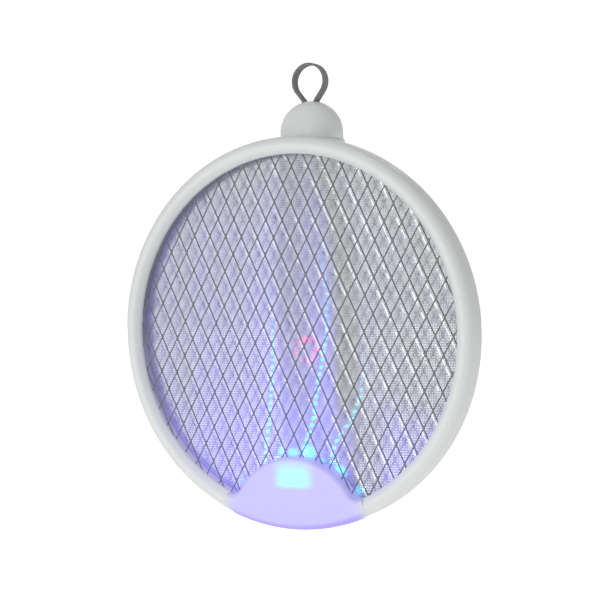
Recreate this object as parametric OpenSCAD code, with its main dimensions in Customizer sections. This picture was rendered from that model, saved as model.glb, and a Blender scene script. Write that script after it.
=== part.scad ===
/* [Head] */
// Outer radius of the round rim
rim_r = 110; // [108:0.5:112]
// Thickness of the rim from its front face to its back face
rim_t = 20; // [20:0.5:22]
// Wall thickness of the rim mouldings
rim_wall = 2; // [1.8:0.1:2.2]
// Radius of the lip that frames the grids
lip_r = 100.2; // [99.8:0.1:100.4]
// Radius of the front outer corner of the rim
front_round = 5; // [4:0.5:6]
// Radius of the back outer corner of the rim
back_round = 6; // [4:0.5:6]

/* [Grids] */
// Width of one diamond of the outer grids
cell_w = 10.5; // [10:0.1:11]
// Height of one diamond of the outer grids
cell_h = 20.05; // [19:0.05:21]
// Width of a strand of the outer grids
strand_w = 0.85; // [0.7:0.05:1]
// Lean of the diamonds towards +X, in degrees
grid_lean = 3.6; // [0:0.1:5]
// Sideways place of the diamonds
cell_shift_x = -2.1; // [-5:0.1:5]
// Upward place of the diamonds
cell_shift_z = 3.2; // [-10:0.1:10]
// Pitch of the squares cut in the middle grid
mesh_pitch = 6.75; // [6:0.25:8]
// Width of a wire of the middle grid
mesh_wire = 0.6; // [0.5:0.1:0.8]

/* [Lamp] */
// Radius of the half-moon lamp housing about the bottom of the rim
moon_r = 40.5; // [40:0.5:41]
// Half angle of the lamp cover, seen from the middle of the rim
cover_angle = 25; // [25:0.5:26]
// How far the lamp cover stands out below the rim
cover_proud = 0.6; // [0.4:0.1:0.8]
// Radius of the fillets where the half-moon meets the lip
notch_r = 6; // [5.5:0.25:6]
// Angle between the outer pair of lamp LEDs and the middle one
led_outer_angle = 58; // [56:1:60]
// Angle between the inner pair of lamp LEDs and the middle one
led_inner_angle = 27; // [24:1:30]

/* [Hinge] */
// Distance of the fold axis behind the middle plane of the rim
hinge_y = 17; // [17:0.25:17.5]
// Height of the fold axis above the middle of the rim, negative below it
hinge_z = -99; // [-99:0.5:-98]
// Radius of the hinge pin
hinge_pin_r = 2; // [1.8:0.1:2.1]
// Radius of the hinge barrels
barrel_r = 4.6; // [4.4:0.1:4.6]

/* [Handle] */
// Distance of the handle's middle plane behind the middle plane of the rim
handle_y = 28.5; // [28.5:0.25:29]
// Depth of the handle from its front to its back
handle_d = 30; // [30:0.5:31]
// Half width of the handle at the palm
palm_half = 22; // [21:0.5:23]
// Half width of the handle at its neck, below the end cap
neck_half = 16.5; // [16:0.5:17]
// Wall thickness of the handle shells
shell_wall = 2.2; // [2:0.1:2.4]
// Height of the end cap's top above the middle of the rim
cap_top = 132.7; // [132:0.1:134]
// Half width of the end cap
cap_half = 18.1; // [17.5:0.1:18.5]

/* [Strap] */
// Width of the webbing
strap_w = 5.5; // [5:0.5:6]
// Thickness of the webbing
strap_t = 1.2; // [1:0.1:1.4]
// Outer width of the loop
loop_w = 21.2; // [20:0.2:22]

/* [Controls] */
// Outer radius of the light ring round the power button
ring_r = 7.5; // [7.5:0.1:7.8]
// Radius of the power button
button_r = 4.95; // [4.8:0.05:5]
// Height of the power button above the middle of the rim
button_z = -10.2; // [-12:0.2:-9]

/* [Hidden] */
$fn = 96;
half_t = rim_t / 2;
front_grid_y = -4.6;
middle_grid_y = 0.8;
rear_grid_y = 6.2;
grid_t = 0.8;
middle_t = 0.4;
grid_r = 103.4;
front_seat = front_grid_y - grid_t / 2;
rear_seat = rear_grid_y + grid_t / 2;
bevel_in = 3;
bevel_depth = 3.8;
boss_r = 2.2;
boss_at = rim_r - rim_wall - boss_r - 0.1;
screw_r = 0.9;
screw_head_r = 1.7;
rim_screw_angles = [0, 45, 90, 135, 180, 225, 315];
moon_z = -rim_r;
moon_back = half_t + 2;
moon_wall = 1.8;
proud_angle = 21.25;
led_y = 8.4;
led_r = 1.5;
led_angles = [-led_outer_angle, -led_inner_angle, 0, led_inner_angle, led_outer_angle];
notch_away = moon_r + notch_r;
notch_in = lip_r - notch_r;
notch_z = (notch_in * notch_in - notch_away * notch_away + moon_z * moon_z) / (2 * moon_z);
notch_x = sqrt(notch_in * notch_in - notch_z * notch_z);
terminal_r = 0.55;
terminal_angle = 42;
rear_terminal_y = rear_seat - grid_t - terminal_r - 0.02;
middle_terminal_y = middle_grid_y + middle_t / 2 + terminal_r + 0.02;
lamp_board_y = 2.9;
board_y = 24;
board_t = 1.6;
light_z = -79.8;
ear_in = 16.4;
ear_out = 24.4;
arm_half = 15.5;
arm_front = 13;
arm_back = 21.4;
handle_front = handle_y - handle_d / 2;
handle_back = handle_y + handle_d / 2;
handle_low = -86;
handle_high = 110;
corner_r = 9;
thin = 0.01;
battery_r = 9.15;
battery_low = 29;
battery_len = 65;
shell_screws = [[-15, -55], [15, -55], [-15, 20], [15, 20], [0, 102]];
switch_z = -45;
switch_travel = 6;
strap_pin_z = 121;
loop_out = loop_w / 2;
loop_round = loop_out - strap_t;
hang_z = 153.5;
loop_z = hang_z - loop_round;
leg_half = 3.6;
plastic_white = [0.87, 0.88, 0.87];
lamp_lilac = [0.8, 0.78, 1];

// Places what is drawn about the middle of the rim in the part's own frame, under the hanging point
module from_rim() {
    translate([0, -handle_y, -hang_z])
        children();
}

// Extrudes an outline drawn in X and Z from low_y by t
module slab(low_y, t) {
    translate([0, low_y + t, 0])
        rotate([90, 0, 0])
            linear_extrude(t)
                children();
}

// Turns an outline of radius and Y about the Y axis
module turned() {
    rotate([-90, 0, 0])
        rotate_extrude($fn = 180)
            children();
}

// A cylinder along Y from low_y to high_y
module y_rod(r, low_y, high_y) {
    translate([0, low_y, 0])
        rotate([-90, 0, 0])
            cylinder(h = high_y - low_y, r = r);
}

// A cylinder along X from low_x to high_x
module x_rod(r, low_x, high_x) {
    translate([low_x, 0, 0])
        rotate([0, 90, 0])
            cylinder(h = high_x - low_x, r = r);
}

// Places children at a screw or boss position of the rim
module at_rim_angle(angle) {
    translate([boss_at * cos(angle), 0, boss_at * sin(angle)])
        children();
}

// Rim section from r_in to r_out with one rounded outer corner, its flat side at Y 0
module rounded_section(r_in, r_out, depth, corner) {
    translate([r_in, 0])
        square([r_out - r_in - corner, depth]);
    translate([r_in, 0])
        square([r_out - r_in, depth - corner]);
    intersection() {
        translate([r_out - corner, depth - corner])
            circle(r = corner);
        translate([r_in, 0])
            square([r_out - r_in, depth]);
    }
}

// Section of one rim moulding, drawn with its outer face towards +Y
module rim_section(corner, seat) {
    difference() {
        rounded_section(lip_r, rim_r, half_t, corner);
        rounded_section(lip_r + 1.8, rim_r - rim_wall, half_t - rim_wall, corner - rim_wall);
        translate([lip_r - 1, 0])
            square([grid_r + 0.2 - lip_r + 1, seat]);
        polygon([
            [lip_r - 1, half_t - bevel_depth],
            [lip_r, half_t - bevel_depth],
            [lip_r + bevel_in, half_t],
            [lip_r + bevel_in, half_t + 1],
            [lip_r - 1, half_t + 1]
        ]);
        translate([rim_r, 0])
            rotate(45)
                square(0.5, center = true);
    }
}

// Wedge that opens downwards from the middle of the rim
module lower_wedge(angle) {
    reach = 1.5 * rim_r;
    polygon([[0, 0], [-reach * tan(angle), -reach], [reach * tan(angle), -reach]]);
}

// Half-moon outline inside the rim, grown by extra
module moon_outline(extra) {
    intersection() {
        translate([0, moon_z])
            circle(r = moon_r + extra);
        circle(r = rim_r - rim_wall, $fn = 180);
    }
}

// Fillet web between the half-moon and the lip on one side
module notch_web(side) {
    touch_moon = [notch_x * moon_r / notch_away, moon_z + (notch_z - moon_z) * moon_r / notch_away];
    touch_lip = [notch_x * lip_r / notch_in, notch_z * lip_r / notch_in];
    scale([side, 1])
        difference() {
            polygon([
                [notch_x, notch_z],
                touch_moon,
                [touch_moon[0] - 1, touch_moon[1] - 4],
                [touch_lip[0] - 3, touch_lip[1] - 3],
                touch_lip
            ]);
            translate([notch_x, notch_z])
                circle(r = notch_r + 0.1);
        }
}

// Outline of the lamp cover: half-moon, part of the rim and both fillets
module cover_outline(extra) {
    moon_outline(0);
    intersection() {
        difference() {
            circle(r = rim_r + cover_proud, $fn = 180);
            circle(r = lip_r, $fn = 180);
        }
        lower_wedge(cover_angle + extra);
    }
    for (side = [-1, 1])
        notch_web(side);
}

module front_rim() {
    color(plastic_white)
        from_rim()
            difference() {
                union() {
                    mirror([0, 1, 0])
                        turned()
                            rim_section(front_round, -front_seat);
                    for (angle = rim_screw_angles)
                        at_rim_angle(angle)
                            y_rod(boss_r, -half_t + rim_wall, 0);
                }
                slab(-half_t - 1, half_t + 1.1)
                    lower_wedge(cover_angle + 0.1);
                for (angle = rim_screw_angles)
                    at_rim_angle(angle)
                        y_rod(screw_r + 0.02, -half_t + rim_wall + 1, 1);
            }
}

module rear_rim() {
    color(plastic_white)
        from_rim()
            difference() {
                union() {
                    turned()
                        rim_section(back_round, rear_seat);
                    for (angle = rim_screw_angles)
                        at_rim_angle(angle)
                            y_rod(boss_r, 0, half_t - rim_wall);
                    slab(0, moon_back)
                        difference() {
                            moon_outline(0);
                            moon_outline(-moon_wall);
                        }
                    slab(half_t, moon_back - half_t)
                        intersection() {
                            moon_outline(0);
                            circle(r = rim_r - back_round, $fn = 180);
                        }
                    slab(rear_seat, half_t - rear_seat)
                        for (side = [-1, 1])
                            notch_web(side);
                    for (side = [-1, 1])
                        hinge_ear(side);
                }
                for (angle = rim_screw_angles)
                    at_rim_angle(angle) {
                        y_rod(screw_r + 0.2, -1, half_t + 1);
                        y_rod(screw_head_r + 0.1, half_t - 1.4, half_t + 1);
                    }
                for (angle = led_angles)
                    at_moon(angle, led_y)
                        cylinder(h = moon_wall + 4, r = led_r + 0.05);
                at_moon(-terminal_angle, rear_terminal_y)
                    cylinder(h = moon_wall + 4, r = terminal_r + 0.05);
                at_moon(terminal_angle, middle_terminal_y)
                    cylinder(h = moon_wall + 4, r = terminal_r + 0.05);
                translate([0, hinge_y, hinge_z])
                    x_rod(hinge_pin_r + 0.02, -ear_out - 1, ear_out + 1);
            }
}

module hinge_ear(side) {
    low_x = side < 0 ? -ear_out : ear_in;
    translate([low_x, moon_back - 1, hinge_z - barrel_r])
        cube([ear_out - ear_in, hinge_y - moon_back + 1, 2 * barrel_r]);
    translate([0, hinge_y, hinge_z])
        x_rod(barrel_r, low_x, low_x + ear_out - ear_in);
}

// Stands children inside the half-moon's wall, their Z axis outwards through it
module at_moon(angle, y) {
    translate([0, y, moon_z])
        rotate([0, angle, 0])
            translate([0, 0, moon_r - moon_wall - 3])
                children();
}

module lamp_cover() {
    color(lamp_lilac)
        from_rim()
            difference() {
                intersection() {
                    slab(-half_t, half_t)
                        cover_outline(0);
                    mirror([0, 1, 0])
                        union() {
                            turned()
                                rounded_section(0, rim_r, half_t, front_round);
                            intersection() {
                                turned()
                                    rounded_section(0, rim_r + cover_proud, half_t, front_round);
                                slab(-1, half_t + 2)
                                    lower_wedge(proud_angle);
                            }
                        }
                }
                slab(-half_t + rim_wall, half_t)
                    intersection() {
                        circle(r = rim_r - rim_wall, $fn = 180);
                        union() {
                            moon_outline(-moon_wall);
                            intersection() {
                                difference() {
                                    circle(r = rim_r, $fn = 180);
                                    circle(r = lip_r + 3.4, $fn = 180);
                                }
                                lower_wedge(cover_angle - 1);
                            }
                        }
                    }
                slab(front_seat, half_t)
                    difference() {
                        circle(r = grid_r + 0.2, $fn = 180);
                        translate([0, moon_z])
                            circle(r = moon_r);
                    }
            }
}

// Area that a grid covers: the round frame less the half-moon, with a band left beside it
module grid_area(r, band = 0) {
    difference() {
        circle(r = r, $fn = 180);
        translate([0, moon_z])
            circle(r = moon_r + 0.4 + band);
    }
}

// Diamond grid: strands leaning both ways inside a narrow edge band
module diamond_grid() {
    half_w = cell_w / 2;
    half_h = cell_h / 2;
    reach = half_w * half_h / norm([half_w, half_h]);
    keep = (reach - strand_w / 2) / reach;
    columns = ceil(lip_r / half_w);
    rows = ceil(lip_r / half_h);
    moon_centre = [-moon_z * sin(grid_lean), moon_z * cos(grid_lean)];
    difference() {
        grid_area(grid_r);
        intersection() {
            grid_area(lip_r + 0.8, 1.2);
            rotate(-grid_lean)
                for (column = [-columns : columns], row = [-rows : rows]) {
                    at = [column * half_w + cell_shift_x, row * half_h + cell_shift_z];
                    if ((column + row) % 2 == 0 && norm(at) < lip_r + 8 && norm(at - moon_centre) > moon_r - 8)
                        translate(at)
                            polygon([
                                [-half_w * keep, 0],
                                [0, half_h * keep],
                                [half_w * keep, 0],
                                [0, -half_h * keep]
                            ]);
                }
        }
    }
}

module front_grid() {
    color("slategray")
        from_rim()
            slab(front_seat, grid_t)
                diamond_grid();
}

module rear_grid() {
    color("slategray")
        from_rim()
            slab(rear_seat - grid_t, grid_t)
                diamond_grid();
}

// Fine mesh, drawn coarser than it is: square openings inside an edge band
module middle_grid() {
    count = ceil(lip_r / mesh_pitch);
    opening = mesh_pitch - mesh_wire;
    color("silver")
        from_rim()
            slab(middle_grid_y - middle_t / 2, middle_t)
                difference() {
                    grid_area(grid_r);
                    for (column = [-count : count], row = [-count : count])
                        if (norm([abs(column) + 0.5, abs(row) + 0.5]) * mesh_pitch < lip_r)
                            if (norm([column * mesh_pitch, row * mesh_pitch - moon_z]) > moon_r + 6)
                                translate([column * mesh_pitch, row * mesh_pitch])
                                    square(opening, center = true);
                }
}

// Insulating ring that keeps two grids apart
module spacer_ring(low_y, high_y) {
    slab(low_y, high_y - low_y)
        difference() {
            grid_area(grid_r);
            circle(r = lip_r + 0.6, $fn = 180);
        }
}

module front_spacer() {
    color("lightgray")
        from_rim()
            spacer_ring(front_seat + grid_t, middle_grid_y - middle_t / 2);
}

module rear_spacer() {
    color("lightgray")
        from_rim()
            spacer_ring(middle_grid_y + middle_t / 2, rear_seat - grid_t);
}

module lamp_board() {
    color("darkgreen")
        from_rim()
            slab(lamp_board_y, board_t)
                intersection() {
                    moon_outline(-moon_wall - 1);
                    circle(r = lip_r - 1, $fn = 180);
                }
}

module front_light() {
    color("lightcyan")
        from_rim()
            translate([-11, lamp_board_y - 2.4, light_z - 6.5])
                cube([22, 2.4, 13]);
}

module uv_led(angle) {
    color("mediumpurple")
        from_rim()
            at_moon(angle, led_y) {
                cylinder(h = moon_wall + 4.5, r = led_r);
                translate([0, 0, moon_wall + 4.5])
                    sphere(r = led_r, $fn = 48);
            }
}

module outer_grid_terminal() {
    color("goldenrod")
        from_rim()
            at_moon(-terminal_angle, rear_terminal_y)
                cylinder(h = moon_wall + 4.8, r = terminal_r);
}

module middle_grid_terminal() {
    color("goldenrod")
        from_rim()
            at_moon(terminal_angle, middle_terminal_y)
                cylinder(h = moon_wall + 4.8, r = terminal_r);
}

module rim_screws() {
    color("silver")
        from_rim()
            for (angle = rim_screw_angles)
                at_rim_angle(angle) {
                    y_rod(screw_r, -half_t + rim_wall + 1.5, half_t - 1);
                    difference() {
                        y_rod(screw_head_r, half_t - 1.4, half_t - 0.2);
                        translate([0, half_t - 0.2, 0])
                            cross_recess(1.1);
                    }
                }
}

// Cross-shaped recess for a driver, sunk along -Y
module cross_recess(reach) {
    for (turn = [0, 90])
        rotate([0, turn, 0])
            cube([2 * reach, 1.2, 0.4], center = true);
}

module hinge_pin() {
    color("silver")
        from_rim()
            translate([0, hinge_y, hinge_z]) {
                x_rod(hinge_pin_r, -ear_out - 0.1, ear_out + 0.1);
                x_rod(hinge_pin_r + 1.2, -ear_out - 1.1, -ear_out - 0.1);
                x_rod(hinge_pin_r + 1.2, ear_out + 0.1, ear_out + 1.1);
            }
}

module contact_washer(low_x) {
    color("goldenrod")
        from_rim()
            translate([0, hinge_y, hinge_z])
                difference() {
                    x_rod(barrel_r - 0.3, low_x, low_x + 0.7);
                    x_rod(hinge_pin_r + 0.05, low_x - 1, low_x + 2);
                }
}

module contact_washer_left() {
    contact_washer(-ear_in + 0.1);
}

module contact_washer_right() {
    contact_washer(ear_in - 0.8);
}

module hinge_arm() {
    root_low = handle_low + 2.4;
    color(plastic_white)
        from_rim()
            difference() {
                union() {
                    translate([0, hinge_y, hinge_z])
                        x_rod(barrel_r, -arm_half, arm_half);
                    translate([-arm_half, arm_front, hinge_z])
                        cube([2 * arm_half, arm_back - arm_front, root_low - hinge_z]);
                    translate([-13, handle_front + shell_wall + 0.1, root_low - 1])
                        cube([26, 5.8, 15]);
                }
                translate([0, hinge_y, hinge_z])
                    x_rod(hinge_pin_r + 0.05, -arm_half - 1, arm_half + 1);
                for (side = [-1, 1])
                    translate([side * 8, 0, -76]) {
                        y_rod(screw_r + 0.2, handle_front, board_y);
                        y_rod(screw_head_r + 0.1, handle_front + shell_wall + 5, board_y);
                    }
            }
}

module arm_screws() {
    color("silver")
        from_rim()
            for (side = [-1, 1])
                translate([side * 8, 0, -76]) {
                    y_rod(screw_r, handle_front + 0.9, handle_front + shell_wall + 5.2);
                    difference() {
                        y_rod(screw_head_r, handle_front + shell_wall + 5.1, handle_front + shell_wall + 6.4);
                        translate([0, handle_front + shell_wall + 6.4, 0])
                            cross_recess(1.1);
                    }
                }
}

// Rectangle about the origin with rounded corners
module rounded_box(half_w, half_d, corner) {
    square([2 * half_w, 2 * (half_d - corner)], center = true);
    square([2 * (half_w - corner), 2 * half_d], center = true);
    for (x = [-1, 1], y = [-1, 1])
        translate([x * (half_w - corner), y * (half_d - corner)])
            circle(r = corner);
}

// Upright column with the section of the palm, inset all round
module palm_column(low_z, high_z, inset) {
    translate([0, handle_y, low_z])
        linear_extrude(high_z - low_z)
            rounded_box(palm_half - inset, handle_d / 2 - inset, corner_r - inset);
}

// Solid of the handle, inset all round: the palm's column cut to the front outline
module handle_solid(inset) {
    low = handle_low + inset;
    high = handle_high + inset;
    intersection() {
        palm_column(low, high, inset);
        slab(handle_front - 1, handle_d + 2)
            for (side = [0, 1])
                mirror([side, 0])
                    polygon([
                        [-1, low],
                        [palm_half - 4.5 - inset, low],
                        [palm_half - 3 - inset, low + 2],
                        [palm_half - inset, -15],
                        [palm_half - inset, 45],
                        [neck_half - inset, handle_high],
                        [neck_half - inset, high],
                        [-1, high]
                    ]);
    }
}

// Half of the hollow handle, from low_y to high_y, with ribs at both ends of the battery
module half_shell(low_y, high_y) {
    span = [2 * palm_half + 10, high_y - low_y, handle_high - handle_low + 10];
    intersection() {
        translate([-span[0] / 2, low_y, handle_low - 5])
            cube(span);
        difference() {
            handle_solid(0);
            difference() {
                handle_solid(shell_wall);
                for (z = [battery_low - 4.6, battery_low + battery_len + 1.4])
                    translate([-palm_half, low_y, z])
                        cube([2 * palm_half, high_y - low_y, 1.6]);
            }
        }
    }
}

module handle_front_shell() {
    color(plastic_white)
        from_rim()
            difference() {
                union() {
                    half_shell(handle_front - 1, handle_y);
                    for (at = shell_screws)
                        translate([at[0], 0, at[1]])
                            y_rod(2.4, handle_front + shell_wall - 0.5, handle_y);
                }
                for (at = shell_screws)
                    translate([at[0], 0, at[1]])
                        y_rod(screw_r + 0.02, handle_y - 9, handle_y + 1);
                for (side = [-1, 1])
                    translate([side * 8, 0, -76])
                        y_rod(screw_r + 0.02, handle_front + 0.8, handle_front + 4);
                translate([-arm_half - 0.3, handle_front - 2, handle_low - 3])
                    cube([2 * arm_half + 0.6, arm_back + 2.3 - handle_front, 5.5]);
                translate([0, 0, button_z])
                    y_rod(ring_r, handle_front - 1, handle_front + 4);
                translate([-2.8, handle_front - 1, switch_z - 3.3])
                    cube([5.6, 5, switch_travel + 6.6]);
                translate([-7, handle_front - 1, 101])
                    cube([14, 1.6, 5]);
                usb_cut();
            }
}

module handle_rear_shell() {
    color(plastic_white)
        from_rim()
            difference() {
                union() {
                    half_shell(handle_y, handle_back + 1);
                    for (at = shell_screws)
                        translate([at[0], 0, at[1]])
                            y_rod(2.4, handle_y, handle_back - shell_wall + 0.5);
                }
                for (at = shell_screws)
                    translate([at[0], 0, at[1]]) {
                        y_rod(screw_r + 0.2, handle_y - 1, handle_back + 1);
                        y_rod(screw_head_r + 0.1, handle_back - 1.6, handle_back + 1);
                    }
                translate([0, 0, -60])
                    y_rod(1.55, handle_back - 5, handle_back + 1);
                usb_cut();
            }
}

// Opening for the charging socket in the lower end of both shells
module usb_cut() {
    translate([-4.6, board_y + board_t - 0.1, handle_low - 1])
        cube([9.2, 3.5, 10]);
}

module shell_screws() {
    color("silver")
        from_rim()
            for (at = shell_screws)
                translate([at[0], 0, at[1]]) {
                    y_rod(screw_r, handle_y - 8.6, handle_back - 1.5);
                    difference() {
                        y_rod(screw_head_r, handle_back - 1.6, handle_back - 0.4);
                        translate([0, handle_back - 0.4, 0])
                            cross_recess(1.1);
                    }
                }
}

module fold_pad() {
    color("gray")
        from_rim()
            translate([-6.9, half_t + 0.4, 101.1])
                cube([13.8, handle_front + 0.6 - half_t - 0.4, 4.8]);
}

// Solid of the end cap, inset all round: a short flare, then round over the top both ways
module cap_solid(inset) {
    top_r = cap_half - inset;
    side_r = handle_d / 2 - inset;
    low = handle_high - inset;
    intersection() {
        palm_column(low, cap_top, inset);
        slab(handle_front - 1, handle_d + 2) {
            translate([0, cap_top - cap_half])
                circle(r = top_r);
            for (side = [0, 1])
                mirror([side, 0])
                    polygon([
                        [-1, low],
                        [neck_half - inset, low],
                        [neck_half - inset, handle_high],
                        [top_r, handle_high + 3],
                        [top_r, cap_top - cap_half],
                        [-1, cap_top - cap_half]
                    ]);
        }
        translate([-palm_half, 0, 0])
            rotate([90, 0, 90])
                linear_extrude(2 * palm_half) {
                    translate([handle_y, cap_top - handle_d / 2])
                        circle(r = side_r);
                    translate([handle_y - side_r, low])
                        square([2 * side_r, cap_top - handle_d / 2 - low]);
                }
    }
}

module end_cap() {
    rib = [5, 5.3, 8];
    sleeve = [neck_half - shell_wall - 0.1, handle_d / 2 - shell_wall - 0.2, 3];
    color(plastic_white)
        from_rim()
            difference() {
                union() {
                    difference() {
                        cap_solid(0);
                        cap_solid(shell_wall);
                    }
                    translate([0, handle_y, handle_high - 4.5])
                        difference() {
                            union() {
                                linear_extrude(5.5)
                                    rounded_box(sleeve[0], sleeve[1], sleeve[2]);
                                translate([0, 0, 4.5])
                                    linear_extrude(1.5)
                                        rounded_box(sleeve[0] + 1, sleeve[1] + 1, sleeve[2] + 1);
                            }
                            translate([0, 0, -1])
                                linear_extrude(8)
                                    rounded_box(sleeve[0] - 1.4, sleeve[1] - 1.4, sleeve[2] - 1.4);
                        }
                    for (low_y = [handle_y - 6 - rib[1], handle_y + 6])
                        translate([-rib[0] / 2, low_y, strap_pin_z - 3])
                            cube(rib);
                }
                for (side = [-1, 1])
                    translate([side * leg_half - 1.1, handle_y - strap_w / 2 - 0.4, strap_pin_z])
                        cube([2.2, strap_w + 0.8, 20]);
                translate([0, 0, strap_pin_z])
                    y_rod(1.52, handle_y - 11, handle_y + 11);
            }
}

module strap_pin() {
    color("silver")
        from_rim()
            translate([0, 0, strap_pin_z])
                y_rod(1.5, handle_y - 10, handle_y + 10);
}

// Outline of the strap in X and Z: round over the top, drawn in to the legs, then round its pin
module strap_outline(grow) {
    leg_in = leg_half - strap_t / 2 + grow;
    hull() {
        translate([0, loop_z])
            circle(r = loop_round + grow);
        translate([0, cap_top - 1])
            square([2 * leg_in, thin], center = true);
    }
    hull() {
        translate([0, cap_top - 1])
            square([2 * leg_in, thin], center = true);
        translate([0, strap_pin_z])
            circle(r = 1.55 + grow);
    }
}

module wrist_loop() {
    color("dimgray")
        from_rim()
            slab(handle_y - strap_w / 2, strap_w)
                difference() {
                    strap_outline(strap_t);
                    strap_outline(0);
                }
}

module battery_cell() {
    color("mediumseagreen")
        from_rim()
            translate([0, handle_y, battery_low]) {
                cylinder(h = battery_len - 1.2, r = battery_r);
                cylinder(h = battery_len, r = 2.8);
            }
}

module battery_contact_top() {
    color("silver")
        from_rim()
            translate([0, handle_y, battery_low + battery_len]) {
                translate([-6, -6, 0.8])
                    cube([12, 12, 0.5]);
                translate([0, 0, 0.05])
                    cylinder(h = 1, r = 2);
            }
}

module battery_contact_bottom() {
    color("silver")
        from_rim()
            translate([0, handle_y, battery_low]) {
                translate([-6, -6, -2.9])
                    cube([12, 12, 0.5]);
                translate([0, 0, -2.6])
                    cylinder(h = 2.55, r1 = 4.5, r2 = 2.5, $fn = 48);
            }
}

module main_board() {
    color("darkgreen")
        from_rim()
            translate([-11, board_y, -83.5])
                cube([22, board_t, 107.5]);
}

module transformer() {
    low_y = board_y + board_t;
    color("khaki")
        from_rim()
            translate([-7, low_y, -36]) {
                cube([14, 1.5, 13]);
                translate([1, 1.5, 0.5])
                    cube([12, 7.5, 12]);
                translate([0, 9, 0])
                    cube([14, 1.5, 13]);
            }
}

module storage_capacitor() {
    color("indianred")
        from_rim()
            translate([-5, board_y + board_t, -12])
                cube([10, 9, 18]);
}

module press_switch() {
    color("black")
        from_rim()
            translate([0, 0, button_z]) {
                translate([-3, board_y - 2.4, -3])
                    cube([6, 2.4, 6]);
                y_rod(1.7, board_y - 3.6, board_y - 2.4);
            }
}

module slide_switch() {
    color("silver")
        from_rim()
            translate([-3.5, board_y - 5, switch_z - 5])
                cube([7, 5, 16]);
}

module usb_socket() {
    color("silver")
        from_rim()
            translate([-4.5, board_y + board_t, handle_low + 0.1])
                difference() {
                    cube([9, 3.2, 7.3]);
                    translate([0.5, 0.5, -1])
                        cube([8, 2.2, 7]);
                }
}

module light_pipe() {
    color("white")
        from_rim()
            translate([0, 0, -60])
                y_rod(1.5, board_y + board_t + 1, handle_back + 0.3);
}

module button_ring() {
    color("crimson")
        from_rim()
            translate([0, 0, button_z])
                difference() {
                    union() {
                        y_rod(ring_r - 0.05, handle_front - 1.5, handle_front + 3);
                        y_rod(ring_r + 1.5, handle_front + shell_wall + 0.05, handle_front + 3.2);
                    }
                    y_rod(button_r + 0.25, handle_front - 3, handle_front + 5);
                }
}

module power_button() {
    color("white")
        from_rim()
            translate([0, 0, button_z]) {
                y_rod(button_r, handle_front - 1.2, handle_front + 4);
                y_rod(button_r + 1.2, handle_front + 3.5, handle_front + 4.5);
                y_rod(2, handle_front + 4.5, board_y - 5);
            }
}

module mode_switch() {
    color("white")
        from_rim() {
            translate([-2.5, handle_front - 0.9, switch_z - 3])
                cube([5, 4, 6]);
            translate([-4.5, handle_front + shell_wall + 0.2, switch_z - 6])
                cube([9, 1, 12]);
            translate([-1, handle_front + shell_wall + 1, switch_z - 1])
                cube([2, 2, 2]);
        }
}

front_rim();
rear_rim();
lamp_cover();
front_grid();
middle_grid();
rear_grid();
front_spacer();
rear_spacer();
lamp_board();
front_light();
uv_led(led_angles[0]);  // uv_led_1
uv_led(led_angles[1]);  // uv_led_2
uv_led(led_angles[2]);  // uv_led_3
uv_led(led_angles[3]);  // uv_led_4
uv_led(led_angles[4]);  // uv_led_5
outer_grid_terminal();
middle_grid_terminal();
rim_screws();
hinge_pin();
contact_washer_left();
contact_washer_right();
hinge_arm();
arm_screws();
handle_front_shell();
handle_rear_shell();
shell_screws();
fold_pad();
end_cap();
strap_pin();
wrist_loop();
battery_cell();
battery_contact_top();
battery_contact_bottom();
main_board();
transformer();
storage_capacitor();
press_switch();
slide_switch();
usb_socket();
light_pipe();
button_ring();
power_button();
mode_switch();
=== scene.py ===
import math

import bmesh
import bpy
from mathutils import Matrix, Vector


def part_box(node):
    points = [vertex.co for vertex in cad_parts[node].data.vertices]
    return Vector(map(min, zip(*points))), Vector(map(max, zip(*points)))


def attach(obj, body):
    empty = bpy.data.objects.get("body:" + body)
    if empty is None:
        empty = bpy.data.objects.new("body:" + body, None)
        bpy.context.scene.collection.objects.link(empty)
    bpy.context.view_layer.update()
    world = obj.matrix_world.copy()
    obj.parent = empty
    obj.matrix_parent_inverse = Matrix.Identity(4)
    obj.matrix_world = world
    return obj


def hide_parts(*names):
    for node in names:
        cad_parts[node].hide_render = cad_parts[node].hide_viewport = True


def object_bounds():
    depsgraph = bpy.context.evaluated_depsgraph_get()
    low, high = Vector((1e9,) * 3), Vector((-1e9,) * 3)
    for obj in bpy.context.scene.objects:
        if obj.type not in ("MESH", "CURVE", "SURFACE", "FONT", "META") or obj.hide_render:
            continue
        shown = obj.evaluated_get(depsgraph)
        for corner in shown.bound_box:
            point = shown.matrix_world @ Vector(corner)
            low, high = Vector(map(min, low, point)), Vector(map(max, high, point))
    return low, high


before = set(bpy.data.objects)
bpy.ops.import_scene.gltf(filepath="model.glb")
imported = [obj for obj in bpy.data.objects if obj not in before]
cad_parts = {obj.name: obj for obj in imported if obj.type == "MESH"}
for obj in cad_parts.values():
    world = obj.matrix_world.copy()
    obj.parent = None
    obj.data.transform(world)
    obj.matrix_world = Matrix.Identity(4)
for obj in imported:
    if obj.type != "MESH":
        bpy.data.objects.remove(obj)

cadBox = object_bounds()
mm = 0.001

# the middle of the round rim, on the plane where its two mouldings meet
rearLow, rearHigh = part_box("rear_rim")
rimR = (rearHigh.x - rearLow.x) / 2 / mm
middle = Vector(((rearLow.x + rearHigh.x) / 2, rearLow.y, rearHigh.z - rimR * mm))
frontY = (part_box("front_rim")[0].y - middle.y) / mm


# The low and high corners of a node in millimetres from the middle of the rim.
def sizeOf(node):
    low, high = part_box(node)
    return (low - middle) / mm, (high - middle) / mm


# Making and finishing meshes.


def eachVert(geom):
    return [item for item in geom if isinstance(item, bmesh.types.BMVert)]


def shift(bm, by):
    bmesh.ops.translate(bm, verts=bm.verts[:], vec=by)
    return bm


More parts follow.
